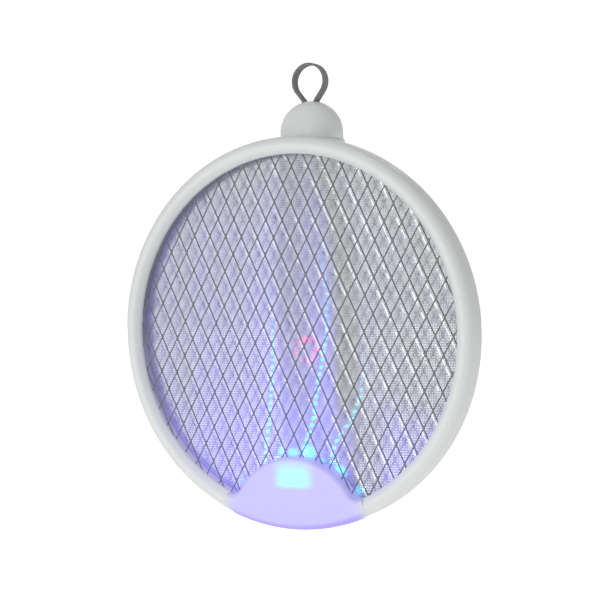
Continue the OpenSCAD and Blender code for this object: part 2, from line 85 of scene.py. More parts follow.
# A solid slab on the X Z outline, between two depths.
def plate(outline, lowY, highY):
    bm = bmesh.new()
    face = bm.faces.new([bm.verts.new((x, lowY, z)) for x, z in outline])
    grown = bmesh.ops.extrude_face_region(bm, geom=[face])
    bmesh.ops.translate(bm, verts=eachVert(grown["geom"]), vec=(0, highY - lowY, 0))
    bmesh.ops.recalc_face_normals(bm, faces=bm.faces[:])
    return bm


def roundEdges(bm, edges, width, segments=3):
    bmesh.ops.bevel(bm, geom=list(edges), offset=width, segments=segments, profile=0.5,
                    affect="EDGES", material=-1, clamp_overlap=True)


# Edges that lie at one depth.
def edgesAt(bm, y, keep=lambda a, b: True):
    return [e for e in bm.edges if all(abs(v.co.y - y) < 1e-4 for v in e.verts)
            and keep(*[v.co for v in e.verts])]


def block(size, centre, rounding=0.4, segments=2):
    bm = bmesh.new()
    bmesh.ops.create_cube(bm, size=1)
    bmesh.ops.scale(bm, vec=size, verts=bm.verts[:])
    bmesh.ops.translate(bm, vec=centre, verts=bm.verts[:])
    if rounding:
        roundEdges(bm, bm.edges[:], rounding, segments)
    return bm


# Turns an outline of (radius, depth, rounding) about the Y axis.
# An open outline starts and ends on the axis.
def lathe(corners, steps=48, angle=360.0, turn=0.0, segments=5, closed=False):
    bm = bmesh.new()
    verts = [bm.verts.new((x, y, 0)) for x, y, _ in corners]
    bm.faces.new(verts)
    for vert, corner in zip(verts, corners):
        if corner[2]:
            bmesh.ops.bevel(bm, geom=[vert], offset=corner[2], segments=segments, profile=0.5,
                            affect="VERTICES", material=-1, clamp_overlap=True)
    bmesh.ops.delete(bm, geom=bm.faces[:], context="FACES_ONLY")
    if not closed:
        onAxis = [e for e in bm.edges if all(abs(v.co.x) < 1e-6 for v in e.verts)]
        bmesh.ops.delete(bm, geom=onAxis, context="EDGES")
    if turn:
        bmesh.ops.rotate(bm, verts=bm.verts[:], cent=(0, 0, 0),
                         matrix=Matrix.Rotation(math.radians(turn), 3, "Y"))
    whole = angle >= 360
    bmesh.ops.spin(bm, geom=bm.verts[:] + bm.edges[:], cent=(0, 0, 0), axis=(0, 1, 0),
                   angle=math.radians(angle), steps=steps, use_merge=whole)
    bmesh.ops.remove_doubles(bm, verts=bm.verts[:], dist=1e-4)
    if not whole:
        bmesh.ops.holes_fill(bm, edges=[e for e in bm.edges if e.is_boundary], sides=0)
    bmesh.ops.recalc_face_normals(bm, faces=bm.faces[:])
    return bm


# Turns a lathed shape from the Y axis to another direction and moves it.
def along(bm, axis, at):
    turnTo = Vector((0, 1, 0)).rotation_difference(Vector(axis)).to_matrix()
    bmesh.ops.rotate(bm, verts=bm.verts[:], cent=(0, 0, 0), matrix=turnTo)
    shift(bm, at)
    return bm


def join(*parts):
    whole = bmesh.new()
    for part in parts:
        spare = bpy.data.meshes.new("spare")
        part.to_mesh(spare)
        whole.from_mesh(spare)
        bpy.data.meshes.remove(spare)
        part.free()
    return whole


# Cuts one closed shape out of another.
def carved(bm, cutter, operation="DIFFERENCE"):
    made = []
    for each in (bm, cutter):
        mesh = bpy.data.meshes.new("carving")
        each.to_mesh(mesh)
        each.free()
        made.append(bpy.data.objects.new("carving", mesh))
        bpy.context.scene.collection.objects.link(made[-1])
    modifier = made[0].modifiers.new("cut", "BOOLEAN")
    modifier.operation, modifier.object, modifier.solver = operation, made[1], "EXACT"
    bpy.context.view_layer.update()
    result = bmesh.new()
    result.from_mesh(made[0].evaluated_get(bpy.context.evaluated_depsgraph_get()).to_mesh())
    for each in made:
        bpy.data.objects.remove(each)
    return result


# Gives an open skin a wall, inwards.
def hollowed(bm, wall):
    mesh = bpy.data.meshes.new("skin")
    bm.to_mesh(mesh)
    bm.free()
    made = bpy.data.objects.new("skin", mesh)
    bpy.context.scene.collection.objects.link(made)
    modifier = made.modifiers.new("wall", "SOLIDIFY")
    modifier.thickness, modifier.offset, modifier.use_even_offset = wall, -1, True
    bpy.context.view_layer.update()
    result = bmesh.new()
    result.from_mesh(made.evaluated_get(bpy.context.evaluated_depsgraph_get()).to_mesh())
    bpy.data.objects.remove(made)
    return result


def toMesh(name, bm):
    mesh = bpy.data.meshes.new(name)
    bmesh.ops.transform(bm, matrix=Matrix.Translation(middle) @ Matrix.Scale(mm, 4), verts=bm.verts[:])
    bm.to_mesh(mesh)
    bm.free()
    return mesh


# Puts a finished shape on its body, in place of its CAD nodes.
def piece(name, source, body, nodes, material, sharpAngle=35.0):
    mesh = source if isinstance(source, bpy.types.Mesh) else toMesh(name, source)
    mesh.name = name
    mesh.materials.clear()
    for each in material if isinstance(material, (list, tuple)) else [material]:
        mesh.materials.append(each)
    mesh.shade_smooth()
    mesh.set_sharp_from_angle(angle=math.radians(sharpAngle))
    made = bpy.data.objects.new(name, mesh)
    bpy.context.scene.collection.objects.link(made)
    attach(made, body)
    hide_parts(*nodes)
    return made


# Material building blocks.


def addNode(tree, kind, inputs=None, **settings):
    made = tree.nodes.new("ShaderNode" + kind)
    for key, value in settings.items():
        setattr(made, key, value)
    for key, value in (inputs or {}).items():
        if isinstance(value, bpy.types.NodeSocket):
            tree.links.new(value, made.inputs[key])
        else:
            made.inputs[key].default_value = value
    return made


# A material with its shader; fixed values go straight onto the shader's sockets.
def newMaterial(name, **fixed):
    material = bpy.data.materials.new(name)
    material.use_nodes = True
    tree = material.node_tree
    shader = tree.nodes["Principled BSDF"]
    for key, value in fixed.items():
        shader.inputs[key.replace("_", " ")].default_value = value
    return material, tree, shader


def calc(tree, operation, a, b=0.0, c=0.0, clamp=False):
    return addNode(tree, "Math", {0: a, 1: b, 2: c}, operation=operation, use_clamp=clamp).outputs[0]


def mapRange(tree, value, fromLow, fromHigh, toLow=0.0, toHigh=1.0, smooth=False):
    kind = "SMOOTHSTEP" if smooth else "LINEAR"
    return addNode(tree, "MapRange", {"Value": value, "From Min": fromLow, "From Max": fromHigh,
                                      "To Min": toLow, "To Max": toHigh},
                   interpolation_type=kind).outputs["Result"]


# The distance of a place from (0, 0), by its two measures.
def reachOf(tree, across, up):
    squares = [calc(tree, "POWER", each, 2.0) for each in (across, up)]
    return calc(tree, "SQRT", calc(tree, "ADD", *squares))


# Links the colour that a surface gives out.
def glowing(tree, shader, colour, strength=1.0):
    tree.links.new(colour, shader.inputs["Emission Color"])
    shader.inputs["Emission Strength"].default_value = strength


def objectPoint(tree):
    return addNode(tree, "TexCoord").outputs["Object"]


# The place on the surface in millimetres from the middle of the rim, as X, Y and Z.
def rimPoint(tree):
    moved = addNode(tree, "Mapping", {"Vector": objectPoint(tree), "Location": -middle / mm,
                                      "Scale": (1 / mm,) * 3})
    split = addNode(tree, "SeparateXYZ", {"Vector": moved.outputs["Vector"]})
    return split.outputs["X"], split.outputs["Y"], split.outputs["Z"], moved.outputs["Vector"]


# A drawn curve of value between low and high; the points are (value, result).
def curve(tree, value, low, high, points):
    made = addNode(tree, "FloatCurve", {"Value": mapRange(tree, value, low, high)})
    line = made.mapping.curves[0]
    placed = [((at - low) / (high - low), result) for at, result in points]
    line.points[0].location, line.points[-1].location = placed[0], placed[-1]
    for each in placed[1:-1]:
        line.points.new(*each)
    made.mapping.update()
    return made.outputs["Value"]


def noise(tree, point, scale, detail=3.0, roughness=0.5):
    return addNode(tree, "TexNoise", {"Vector": point, "Scale": scale, "Detail": detail,
                                      "Roughness": roughness}).outputs["Fac"]


def mixColour(tree, factor, a, b, kind="MIX"):
    made = addNode(tree, "Mix", {"Factor": factor}, data_type="RGBA", blend_type=kind, clamp_factor=True)
    for socket, value in ((made.inputs[6], a), (made.inputs[7], b)):
        if isinstance(value, bpy.types.NodeSocket):
            tree.links.new(value, socket)
        else:
            socket.default_value = (*value, 1.0)
    return made.outputs[2]


def bump(tree, height, distance, strength=1.0):
    return addNode(tree, "Bump", {"Height": height, "Distance": distance,
                                  "Strength": strength}).outputs["Normal"]


def shade(colour, factor):
    return tuple(min(1.0, part * factor) for part in colour)


# noise scales over the object, in turns for each metre
plasticLook = {"flow": 22.0, "gloss": 130.0, "grain": 2600.0, "glossSpread": 0.07}
metalLook = {"mottle": 240.0, "gloss": 900.0, "scratches": 3200.0, "glossSpread": (0.08, 0.1)}


# Moulded plastic: faint flow marks in the colour, a fine spark-eroded grain, uneven gloss.
def plastic(name, colour, roughness=0.4, grain=0.00001, grainScale=plasticLook["grain"], variation=0.05,
            **fixed):
    material, tree, shader = newMaterial(name, **fixed)
    point = objectPoint(tree)
    flow = mapRange(tree, noise(tree, point, plasticLook["flow"], 4.0), 0.3, 0.7)
    base = mixColour(tree, flow, shade(colour, 1 - variation), shade(colour, 1 + variation))
    tree.links.new(base, shader.inputs["Base Color"])
    spread = plasticLook["glossSpread"]
    worn = mapRange(tree, noise(tree, point, plasticLook["gloss"], 5.0), 0.25, 0.75, roughness - spread,
                    roughness + spread)
    tree.links.new(worn, shader.inputs["Roughness"])
    tree.links.new(bump(tree, noise(tree, point, grainScale, 2.0), grain), shader.inputs["Normal"])
    return material, tree, shader


# Bare or plated metal with fine drawn scratches and a mottled tone.
def metal(name, colour, roughness=0.3, stretch=(1, 1, 1), variation=0.08, scratches=0.000008, **fixed):
    material, tree, shader = newMaterial(name, **{"Metallic": 1.0, **fixed})
    point = addNode(tree, "Mapping", {"Vector": objectPoint(tree), "Scale": stretch}).outputs["Vector"]
    mottle = mapRange(tree, noise(tree, point, metalLook["mottle"], 4.0), 0.3, 0.7)
    base = mixColour(tree, mottle, shade(colour, 1 - variation), shade(colour, 1 + variation))
    tree.links.new(base, shader.inputs["Base Color"])
    smoother, rougher = metalLook["glossSpread"]
    worn = mapRange(tree, noise(tree, point, metalLook["gloss"], 3.0), 0.3, 0.7, roughness - smoother,
                    roughness + rougher)
    tree.links.new(worn, shader.inputs["Roughness"])
    tree.links.new(bump(tree, noise(tree, point, metalLook["scratches"], 2.0), scratches),
                   shader.inputs["Normal"])
    return material, tree, shader


# Camera, light and room.

# the camera stands to the object's right and a little above its middle, and looks almost level
view = {"place": (0.386732, -0.742845, -0.119696), "right": (0.88118152, 0.47157932, -0.03364617),
        "up": (0.02063746, 0.03273177, 0.99925108), "back": (0.47232745, -0.88121596, 0.01911043),
        "lens": 86.5147, "sensor": 36.0}
cameraData = bpy.data.cameras.new("camera")
cameraData.lens = view["lens"]
cameraData.sensor_width = view["sensor"]
cameraData.clip_start = 0.01
camera = bpy.data.objects.new("camera", cameraData)
bpy.context.scene.collection.objects.link(camera)
camera.matrix_world = Matrix((view["right"], view["up"], view["back"])).transposed().to_4x4()
camera.matrix_world.translation = view["place"]
bpy.context.scene.camera = camera
bpy.context.scene.view_settings.view_transform = "Standard"
bpy.context.scene.view_settings.look = "None"

studio = {"world": 0.49, "backdrop": 1.05, "floorDrop": 0.26, "floorSize": 9.0, "floorBounce": 0.42,
          "floorWhite": 1.0}
world = bpy.data.worlds.new("studio")
bpy.context.scene.world = world
world.use_nodes = True
sky = world.node_tree
sky.nodes["Background"].inputs["Strength"].default_value = studio["world"]
sky.nodes["Background"].inputs["Color"].default_value = (1, 1, 1, 1)
white = addNode(sky, "Background", {"Color": (1, 1, 1, 1), "Strength": studio["backdrop"]})
seen = addNode(sky, "LightPath").outputs["Is Camera Ray"]
blended = addNode(sky, "MixShader", {0: seen, 1: sky.nodes["Background"].outputs[0], 2: white.outputs[0]})
sky.links.new(blended.outputs[0], sky.nodes["World Output"].inputs["Surface"])


def softbox(name, place, size, power, tint=(1, 1, 1)):
    data = bpy.data.lights.new(name, "AREA")
    data.shape = "RECTANGLE"
    data.size, data.size_y = size
    data.energy = power
    data.color = tint
    lamp = bpy.data.objects.new(name, data)
    bpy.context.scene.collection.objects.link(lamp)
    lamp.location = place
    aim = Vector(middle) - Vector(place)
    lamp.rotation_euler = aim.to_track_quat("-Z", "Y").to_euler()
    return lamp


softbox("keyLight", (-0.9, -2.6, 0.1), (2.2, 1.3), 19.0)
softbox("topLight", (-0.4, -0.3, 1.9), (1.4, 1.4), 3.0)
softbox("backLight", (-0.9, 1.9, 0.6), (1.6, 1.6), 5.0)

floorMaterial, floorTree, floorShader = newMaterial("paleFloor", Roughness=0.9, Emission_Color=(1, 1, 1, 1))
floorTone = mapRange(floorTree, noise(floorTree, objectPoint(floorTree), 3.0), 0.3, 0.7)
floorTree.links.new(mixColour(floorTree, floorTone, (0.88, 0.88, 0.88), (0.9, 0.9, 0.9)),
                    floorShader.inputs["Base Color"])
floorSeen = addNode(floorTree, "LightPath").outputs["Is Camera Ray"]
floorGlow = mapRange(floorTree, floorSeen, 0, 1, studio["floorBounce"], studio["floorWhite"])
floorTree.links.new(floorGlow, floorShader.inputs["Emission Strength"])
floorMesh = bmesh.new()
bmesh.ops.create_grid(floorMesh, x_segments=4, y_segments=4, size=studio["floorSize"])
shift(floorMesh, (0, 0, cadBox[0][2] - studio["floorDrop"]))
floorData = bpy.data.meshes.new("floor")
floorMesh.to_mesh(floorData)
floorMesh.free()
floorData.materials.append(floorMaterial)
floor = bpy.data.objects.new("floor", floorData)
bpy.context.scene.collection.objects.link(floor)
print("stage: camera, lights and floor")

# The violet light of the lamp on the grids.

lattice = {"width": 10.5, "height": 20.04, "lean": 3.6, "shiftX": -2.13, "shiftZ": 3.15, "strand": 0.68,
           "deep": 0.42, "twist": 24.0, "lap": 0.08, "bond": (1.1, 0.7, 3.0), "band": (101.0, 103.3),
           "reach": 102.4, "moonClear": -0.6, "frontY": -4.6, "rearY": 6.2, "thick": 0.8}
weave = {"uprights": (0.95, 0.65), "rungs": (1.35, 0.8), "thick": 0.18, "lift": 0.09,
         "y": 0.8}  # pitch and width

lampLight = {
    "centre": (0.0, -95.0), "far": 190.0,
    "byDistance": [(0, 0.62), (45, 0.5), (63, 0.38), (75, 0.31), (87, 0.235), (110, 0.13), (140, 0.05),
                   (190, 0.0)],
    "bend": [(-110, 0.95), (-50, 0.95), (20, 1.0), (60, 0.9), (96, 0.62), (110, 0.55)],
    "acrossHigh": [(-110, 0.7), (-90, 0.7), (-76, 0.62), (-60, 0.85), (-45, 0.75), (-30, 0.8), (-17, 1.05),
                   (-2, 0.6),
                   (17, 0.98), (26, 0.3), (33, 0.04), (44, 0.3), (60, 0.2), (75, 0.15), (110, 0.15)],
    "acrossLow": [(-110, 1.0), (-30, 1.0), (20, 1.0), (33, 0.8), (44, 0.16), (56, 0.75), (66, 1.0),
                  (110, 0.9)],
    "highShare": 0.18,
    "byHeight": [(-110, 0.6), (-40, 0.8), (0, 1.0), (50, 1.0), (75, 0.75), (96, 0.3), (110, 0.1)],
}


# How much violet light reaches a place on the grids, and its X and Z in millimetres.
def violetField(tree):
    x, y, z, point = rimPoint(tree)
    centreX, centreZ = lampLight["centre"]
    away = reachOf(tree, calc(tree, "SUBTRACT", x, centreX), calc(tree, "SUBTRACT", z, centreZ))
    near = curve(tree, away, 0, lampLight["far"], lampLight["byDistance"])
    straight = calc(tree, "DIVIDE", x, curve(tree, z, -110, 110, lampLight["bend"]))
    acrossHigh = curve(tree, straight, -110, 110, lampLight["acrossHigh"])
    acrossLow = curve(tree, straight, -110, 110, lampLight["acrossLow"])
    low = mapRange(tree, z, -30, -60, smooth=True)
    across = calc(tree, "ADD", calc(tree, "MULTIPLY", acrossLow, low),
                  calc(tree, "MULTIPLY", acrossHigh, calc(tree, "SUBTRACT", 1.0, low)))
    high = calc(tree, "MULTIPLY", calc(tree, "MULTIPLY", curve(tree, z, -110, 110, lampLight["byHeight"]),
                                       acrossHigh),
                lampLight["highShare"])
    field = calc(tree, "ADD", calc(tree, "MULTIPLY", near, across), high)
    drawn = addNode(tree, "Mapping", {"Vector": point, "Scale": (0.09, 0.09, 0.02)}).outputs[0]
    patchy = mapRange(tree, noise(tree, drawn, 1.0, 4.0), 0.25, 0.75, 0.75, 1.25)
    return calc(tree, "MULTIPLY", field, patchy), x, y, z


# painted reflections of the LEDs on the mesh wires: rows of bright dashes that run up the mesh from the
# LEDs: (height, X) points, and how far up they last
ledReflectionRows = [
    {"path": [(-110, -26), (-68, -22), (-50, -19), (0, -15), (40, -17), (96, -11), (110, -10)],
     "fade": (-62, 40), "gain": 0.6},
    {"path": [(-110, -2), (-66, 3), (-50, 9), (-34, 12), (7, 20), (63, 15), (110, 8)], "fade": (-60, 60),
     "gain": 0.7},
    {"path": [(-110, 20), (-72, 20), (-60, 24), (-47, 34), (-14, 43), (11, 44), (110, 40)],
     "fade": (-68, 0), "gain": 0.55},
]
ledReflectionDashSize = {"pitch": 4.1, "halfWidth": 1.9}
# painted glare of LED light on the mesh, as bright spots near the LEDs
flares = [(-36, -86, 4.0, 0.2), (-11.5, -67.5, 4.0, 0.55), (-4, -68.5, 5.0, 0.6), (5.5, -68, 6.5, 0.95),
          (13.5, -73.5, 4.5, 0.7), (24.5, -78.5, 6.5, 1.0), (36, -88, 4.5, 0.35)]  # X, Z, reach, gain


# The brightness of the painted LED reflections at a place: the dashes and the glare spots.
def paintedLedReflections(tree, x, z):
    total = 0.0
    ladder = mapRange(tree, calc(tree, "SINE", calc(tree, "MULTIPLY", z, 2 * math.pi / ledReflectionDashSize["pitch"])),
                      -0.1, 0.5, 0.12, 1.0)
    for row in ledReflectionRows:
        offset = curve(tree, z, -110, 110, [(at, (x0 + 110) / 220) for at, x0 in row["path"]])
        centre = mapRange(tree, offset, 0, 1, -110, 110)
        gap = calc(tree, "ABSOLUTE", calc(tree, "SUBTRACT", x, centre))
        inside = mapRange(tree, gap, ledReflectionDashSize["halfWidth"], 0.3, smooth=True)
        fade = mapRange(tree, z, row["fade"][1], row["fade"][0], 0.0, row["gain"], smooth=True)
        part = calc(tree, "MULTIPLY", inside, fade)
        total = part if isinstance(total, float) else calc(tree, "ADD", total, part)
    total = calc(tree, "MULTIPLY", total, ladder)
    for flareX, flareZ, reach, gain in flares:
        away = reachOf(tree, calc(tree, "SUBTRACT", x, flareX), calc(tree, "SUBTRACT", z, flareZ))
        total = calc(tree, "ADD", total, mapRange(tree, away, reach, 0.0, 0.0, gain, smooth=True))
    return total


# Broken thin lines that follow the strands of the outer grids, drawn on the mesh;
# share is how much of a line is missing.
def strandLines(tree, x, z, slant, phase, width, share):
    lean = math.radians(lattice["lean"])
    lengthwise = calc(tree, "ADD", calc(tree, "MULTIPLY", x, math.sin(lean)),
                      calc(tree, "MULTIPLY", z, math.cos(lean)))
    aside = calc(tree, "SUBTRACT", calc(tree, "MULTIPLY", x, math.cos(lean)),
                 calc(tree, "MULTIPLY", z, math.sin(lean)))
    rise = calc(tree, "MULTIPLY", calc(tree, "SUBTRACT", lengthwise, lattice["shiftZ"]),
                slant / lattice["height"])
    turns = calc(tree, "ADD", calc(tree, "DIVIDE", calc(tree, "SUBTRACT", aside, lattice["shiftX"]),
                                   lattice["width"]), rise)
    part = calc(tree, "FRACT", calc(tree, "ADD", turns, phase))
    line = mapRange(tree, calc(tree, "ABSOLUTE", calc(tree, "SUBTRACT", part, 0.5)), width, width * 0.4,
                    smooth=True)
    place = addNode(tree, "CombineXYZ", {"X": calc(tree, "FLOOR", calc(tree, "ADD", turns, phase)),
                                         "Y": calc(tree, "MULTIPLY", z, 0.22), "Z": phase}).outputs[0]
    broken = mapRange(tree, noise(tree, place, 1.0, 2.0), share - 0.04, share + 0.04)
    return calc(tree, "MULTIPLY", line, broken)


# lines on the mesh as slant, place between two strands, width, and how much of them is missing; the dark
# lines darken the mesh colour, the glint is a painted highlight
meshMarks = {"dark": [(-1, 0.30, 0.05, 0.62), (1, 0.62, 0.05, 0.6)], "glint": (1, 0.42, 0.06, 0.5),
             "darkness": 0.35}


# Grid metal that the lamp lights violet, painted as emission, with painted cyan reflections of the LEDs as
# dashes near them.
def litMetal(name, colour, roughness, violet, ledReflectionGain, glints=False, **fixed):
    material, tree, shader = metal(name, colour, roughness, **fixed)
    field, x, y, z = violetField(tree)
    scaled = calc(tree, "MULTIPLY", field, violet)
    lit = addNode(tree, "CombineColor", {"Red": calc(tree, "MULTIPLY", scaled, 0.14),
                                         "Green": calc(tree, "MULTIPLY", scaled, 0.1),
                                         "Blue": scaled}).outputs[0]
    if ledReflectionGain:
        bright = calc(tree, "MULTIPLY", paintedLedReflections(tree, x, z), ledReflectionGain)
        cyan = addNode(tree, "CombineColor", {"Red": calc(tree, "MULTIPLY", bright, 0.16),
                                              "Green": calc(tree, "MULTIPLY", bright, 0.72),
                                              "Blue": bright}).outputs[0]
        lit = mixColour(tree, 1.0, lit, cyan, "ADD")
        # painted reflection: on the mesh the base colour also turns cyan along the LED dashes
        ledReflectionTint = calc(tree, "MINIMUM", calc(tree, "MULTIPLY", bright, 0.7), 0.9)
    if glints:
        base = shader.inputs["Base Color"].links[0].from_socket
        # thin broken dark lines along the outer grids' strands, mixed into the mesh colour
        for marks in meshMarks["dark"]:
            base = mixColour(tree, strandLines(tree, x, z, *marks), base, shade(colour, meshMarks["darkness"]))
        # painted highlight: broken white glint lines on the mesh, brighter towards +X
        shine = strandLines(tree, x, z, *meshMarks["glint"])
        shine = calc(tree, "MULTIPLY", shine, mapRange(tree, x, -40, 40, 0.25, 1.0))
        base = mixColour(tree, ledReflectionTint, mixColour(tree, shine, base, (1.0, 1.0, 1.0)), (0.04, 0.8, 1.0))
        tree.links.new(base, shader.inputs["Base Color"])
    glowing(tree, shader, lit)
    return material


frontGridMetal = litMetal("frontGridMetal", (0.155, 0.168, 0.16), 0.42, 0.3, 0.0, Metallic=0.6)
meshMetal = litMetal("meshMetal", (0.46, 0.475, 0.48), 0.4, 0.98, 1.5, glints=True, Metallic=0.4)
rearGridMetal = litMetal("rearGridMetal", (0.5, 0.51, 0.5), 0.4, 0.8, 0.0, Metallic=0.6)

# Plain finishes.

whiteColour = (0.75, 0.759, 0.746)
whitePlastic = plastic("whitePlastic", whiteColour, 0.38, variation=0.015, Subsurface_Weight=0.04)[0]


# Plastic that catches light from the lamp, more towards the bottom and from one radius in to the next.
def lampLit(name, colour, roughness, gain, outer, inner, **fixed):
    material, tree, shader = plastic(name, colour, roughness, **fixed)
    x, y, z, point = rimPoint(tree)
    reach = reachOf(tree, x, z)
    near = calc(tree, "MULTIPLY", mapRange(tree, reach, outer, inner, smooth=True),
                mapRange(tree, z, 30, -95, 0.0, gain, smooth=True))
    tint = addNode(tree, "CombineColor", {"Red": calc(tree, "MULTIPLY", near, 0.72),
                                          "Green": calc(tree, "MULTIPLY", near, 0.68), "Blue": near})
    glowing(tree, shader, tint.outputs[0])
    return material


# the spacer's dark lilac-grey base colour is painted shade on a pale spacer; its glow is painted lamp light
spacerPlastic = lampLit("spacerPlastic", (0.34, 0.33, 0.39), 0.5, 0.42, 120, 110, variation=0.08)
rimPlastic = lampLit("rimPlastic", whiteColour, 0.38, 0.2, 107, 101, variation=0.015,
                     Subsurface_Weight=0.04)
padRubber = plastic("padRubber", (0.16, 0.16, 0.165), 0.75, grain=0.00004, grainScale=1500.0,
                    variation=0.15)[0]
blackPlastic = plastic("blackPlastic", (0.03, 0.03, 0.032), 0.45, variation=0.2)[0]
buttonPlastic = plastic("buttonPlastic", (0.74, 0.75, 0.74), 0.3, variation=0.02)[0]
screwSteel = metal("screwSteel", (0.56, 0.55, 0.53), 0.3)[0]
contactSteel = metal("contactSteel", (0.7, 0.68, 0.64), 0.25, stretch=(1, 6, 1))[0]
brass = metal("brass", (0.85, 0.62, 0.3), 0.28)[0]
ferrite = plastic("ferrite", (0.06, 0.06, 0.065), 0.6, grain=0.00005, grainScale=1800.0, variation=0.2)[0]
capacitorFilm = plastic("capacitorFilm", (0.36, 0.05, 0.035), 0.25, variation=0.1, Coat_Weight=0.4)[0]


# Green solder resist with tracks, pads and a woven core showing faintly.
def circuitBoard():
    material, tree, shader = newMaterial("circuitBoard", Roughness=0.35, Coat_Weight=0.5)
    x, y, z, point = rimPoint(tree)
    flat = addNode(tree, "Mapping", {"Vector": point, "Rotation": (math.radians(90), 0, 0)}).outputs[0]
    cells = addNode(tree, "TexBrick", {"Vector": flat, "Color1": (0.012, 0.1, 0.035, 1),
                                       "Mortar": (0.05, 0.24, 0.1, 1),
                                       "Color2": (0.02, 0.13, 0.05, 1), "Scale": 0.32, "Mortar Size": 0.035,
                                       "Brick Width": 1.4, "Row Height": 0.6})
    weave = calc(tree, "MULTIPLY", calc(tree, "SINE", calc(tree, "MULTIPLY", x, 9.0)),
                 calc(tree, "SINE", calc(tree, "MULTIPLY", z, 9.0)))
    tone = mixColour(tree, mapRange(tree, weave, -1, 1, 0, 0.25), cells.outputs["Color"], (0.03, 0.2, 0.07))
    tree.links.new(tone, shader.inputs["Base Color"])
    tree.links.new(bump(tree, cells.outputs["Fac"], 0.00003), shader.inputs["Normal"])
    return material


def lightPanel():
    material, tree, shader = newMaterial("lightPanel", Roughness=0.3)
    x, y, z, point = rimPoint(tree)
    dots = calc(tree, "MULTIPLY", calc(tree, "SINE", calc(tree, "MULTIPLY", x, 1.9)),
                calc(tree, "SINE", calc(tree, "MULTIPLY", z, 1.9)))
    hot = mapRange(tree, dots, -0.2, 0.8)
    tree.links.new(mixColour(tree, hot, (0.9, 0.95, 0.7), (0.95, 1.0, 0.95)), shader.inputs["Base Color"])
    glowing(tree, shader, mixColour(tree, hot, (0.25, 0.8, 0.85), (0.7, 1.0, 1.0)), 1.5)
    return material


# Water-clear lens, cyan-white at the crystal and violet round it.
def ledLens():
    material, tree, shader = newMaterial("ledLens", Roughness=0.12, IOR=1.5, Coat_Weight=0.6)
    x, y, z, point = rimPoint(tree)
    reach = reachOf(tree, x, calc(tree, "ADD", z, rimR))
    tip = mapRange(tree, reach, 37.0, 42.5, smooth=True)
    tree.links.new(mixColour(tree, tip, (0.55, 0.5, 0.85), (0.7, 0.9, 1.0)), shader.inputs["Base Color"])
    glowing(tree, shader, mixColour(tree, tip, (0.25, 0.12, 1.0), (0.35, 0.95, 1.0)), 6.0)
    return material


def batterySleeve():
    material, tree, shader = newMaterial("batterySleeve", Roughness=0.28, Coat_Weight=0.5)
    x, y, z, point = rimPoint(tree)
    band = mapRange(tree, z, 78.0, 78.4)
    mottle = mapRange(tree, noise(tree, point, 0.6, 3.0), 0.3, 0.7)
    wrap = mixColour(tree, mottle, (0.03, 0.3, 0.12), (0.04, 0.36, 0.15))
    tree.links.new(mixColour(tree, band, wrap, (0.85, 0.86, 0.84)), shader.inputs["Base Color"])
    tree.links.new(bump(tree, noise(tree, point, 2.4, 3.0), 0.00003), shader.inputs["Normal"])
    return material


# Red light guide, brighter along the middle of its face.
def ringRed():
    material, tree, shader = newMaterial("ringRed", Roughness=0.3, Coat_Weight=0.3)
    x, y, z, point = rimPoint(tree)
    low, high = sizeOf("button_ring")
    away = reachOf(tree, x, calc(tree, "SUBTRACT", z, (low.z + high.z) / 2))
    glow = mapRange(tree, calc(tree, "ABSOLUTE", calc(tree, "SUBTRACT", away, 6.35)), 1.3, 0.2, 0.4, 1.0)
    tree.links.new(mixColour(tree, glow, (0.45, 0.02, 0.1), (0.8, 0.05, 0.2)), shader.inputs["Base Color"])
    glowing(tree, shader, mixColour(tree, glow, (0.5, 0.0, 0.04), (1.0, 0.0, 0.1)), 6.0)
    return material


# Grey woven tape: herringbone rows of yarn across and along.
def webbing():
    material, tree, shader = newMaterial("webbing", Roughness=0.85, Sheen_Weight=0.35)
    uv = addNode(tree, "SeparateXYZ", {"Vector": addNode(tree, "UVMap", uv_map="UVMap").outputs[0]})
    length, width = uv.outputs["X"], uv.outputs["Y"]
    slant = calc(tree, "ABSOLUTE", calc(tree, "SUBTRACT",
                                        calc(tree, "FRACT", calc(tree, "MULTIPLY", width, 0.5)), 0.5))
    rows = calc(tree, "SINE", calc(tree, "MULTIPLY",
                                   calc(tree, "ADD", length, calc(tree, "MULTIPLY", slant, 1.6)),
                                   2 * math.pi / 0.85))
    yarns = calc(tree, "SINE", calc(tree, "MULTIPLY", width, 2 * math.pi / 0.5))
    weave = calc(tree, "ADD", calc(tree, "MULTIPLY", rows, 0.65), calc(tree, "MULTIPLY", yarns, 0.35))
    fuzz = noise(tree, objectPoint(tree), 1500.0, 4.0)
    tone = mapRange(tree, calc(tree, "ADD", weave, mapRange(tree, fuzz, 0.3, 0.7, -0.4, 0.4)), -1, 1)
    tree.links.new(mixColour(tree, tone, (0.1, 0.1, 0.105), (0.27, 0.27, 0.275)),
                   shader.inputs["Base Color"])
    tree.links.new(bump(tree, weave, 0.00012), shader.inputs["Normal"])
    return material


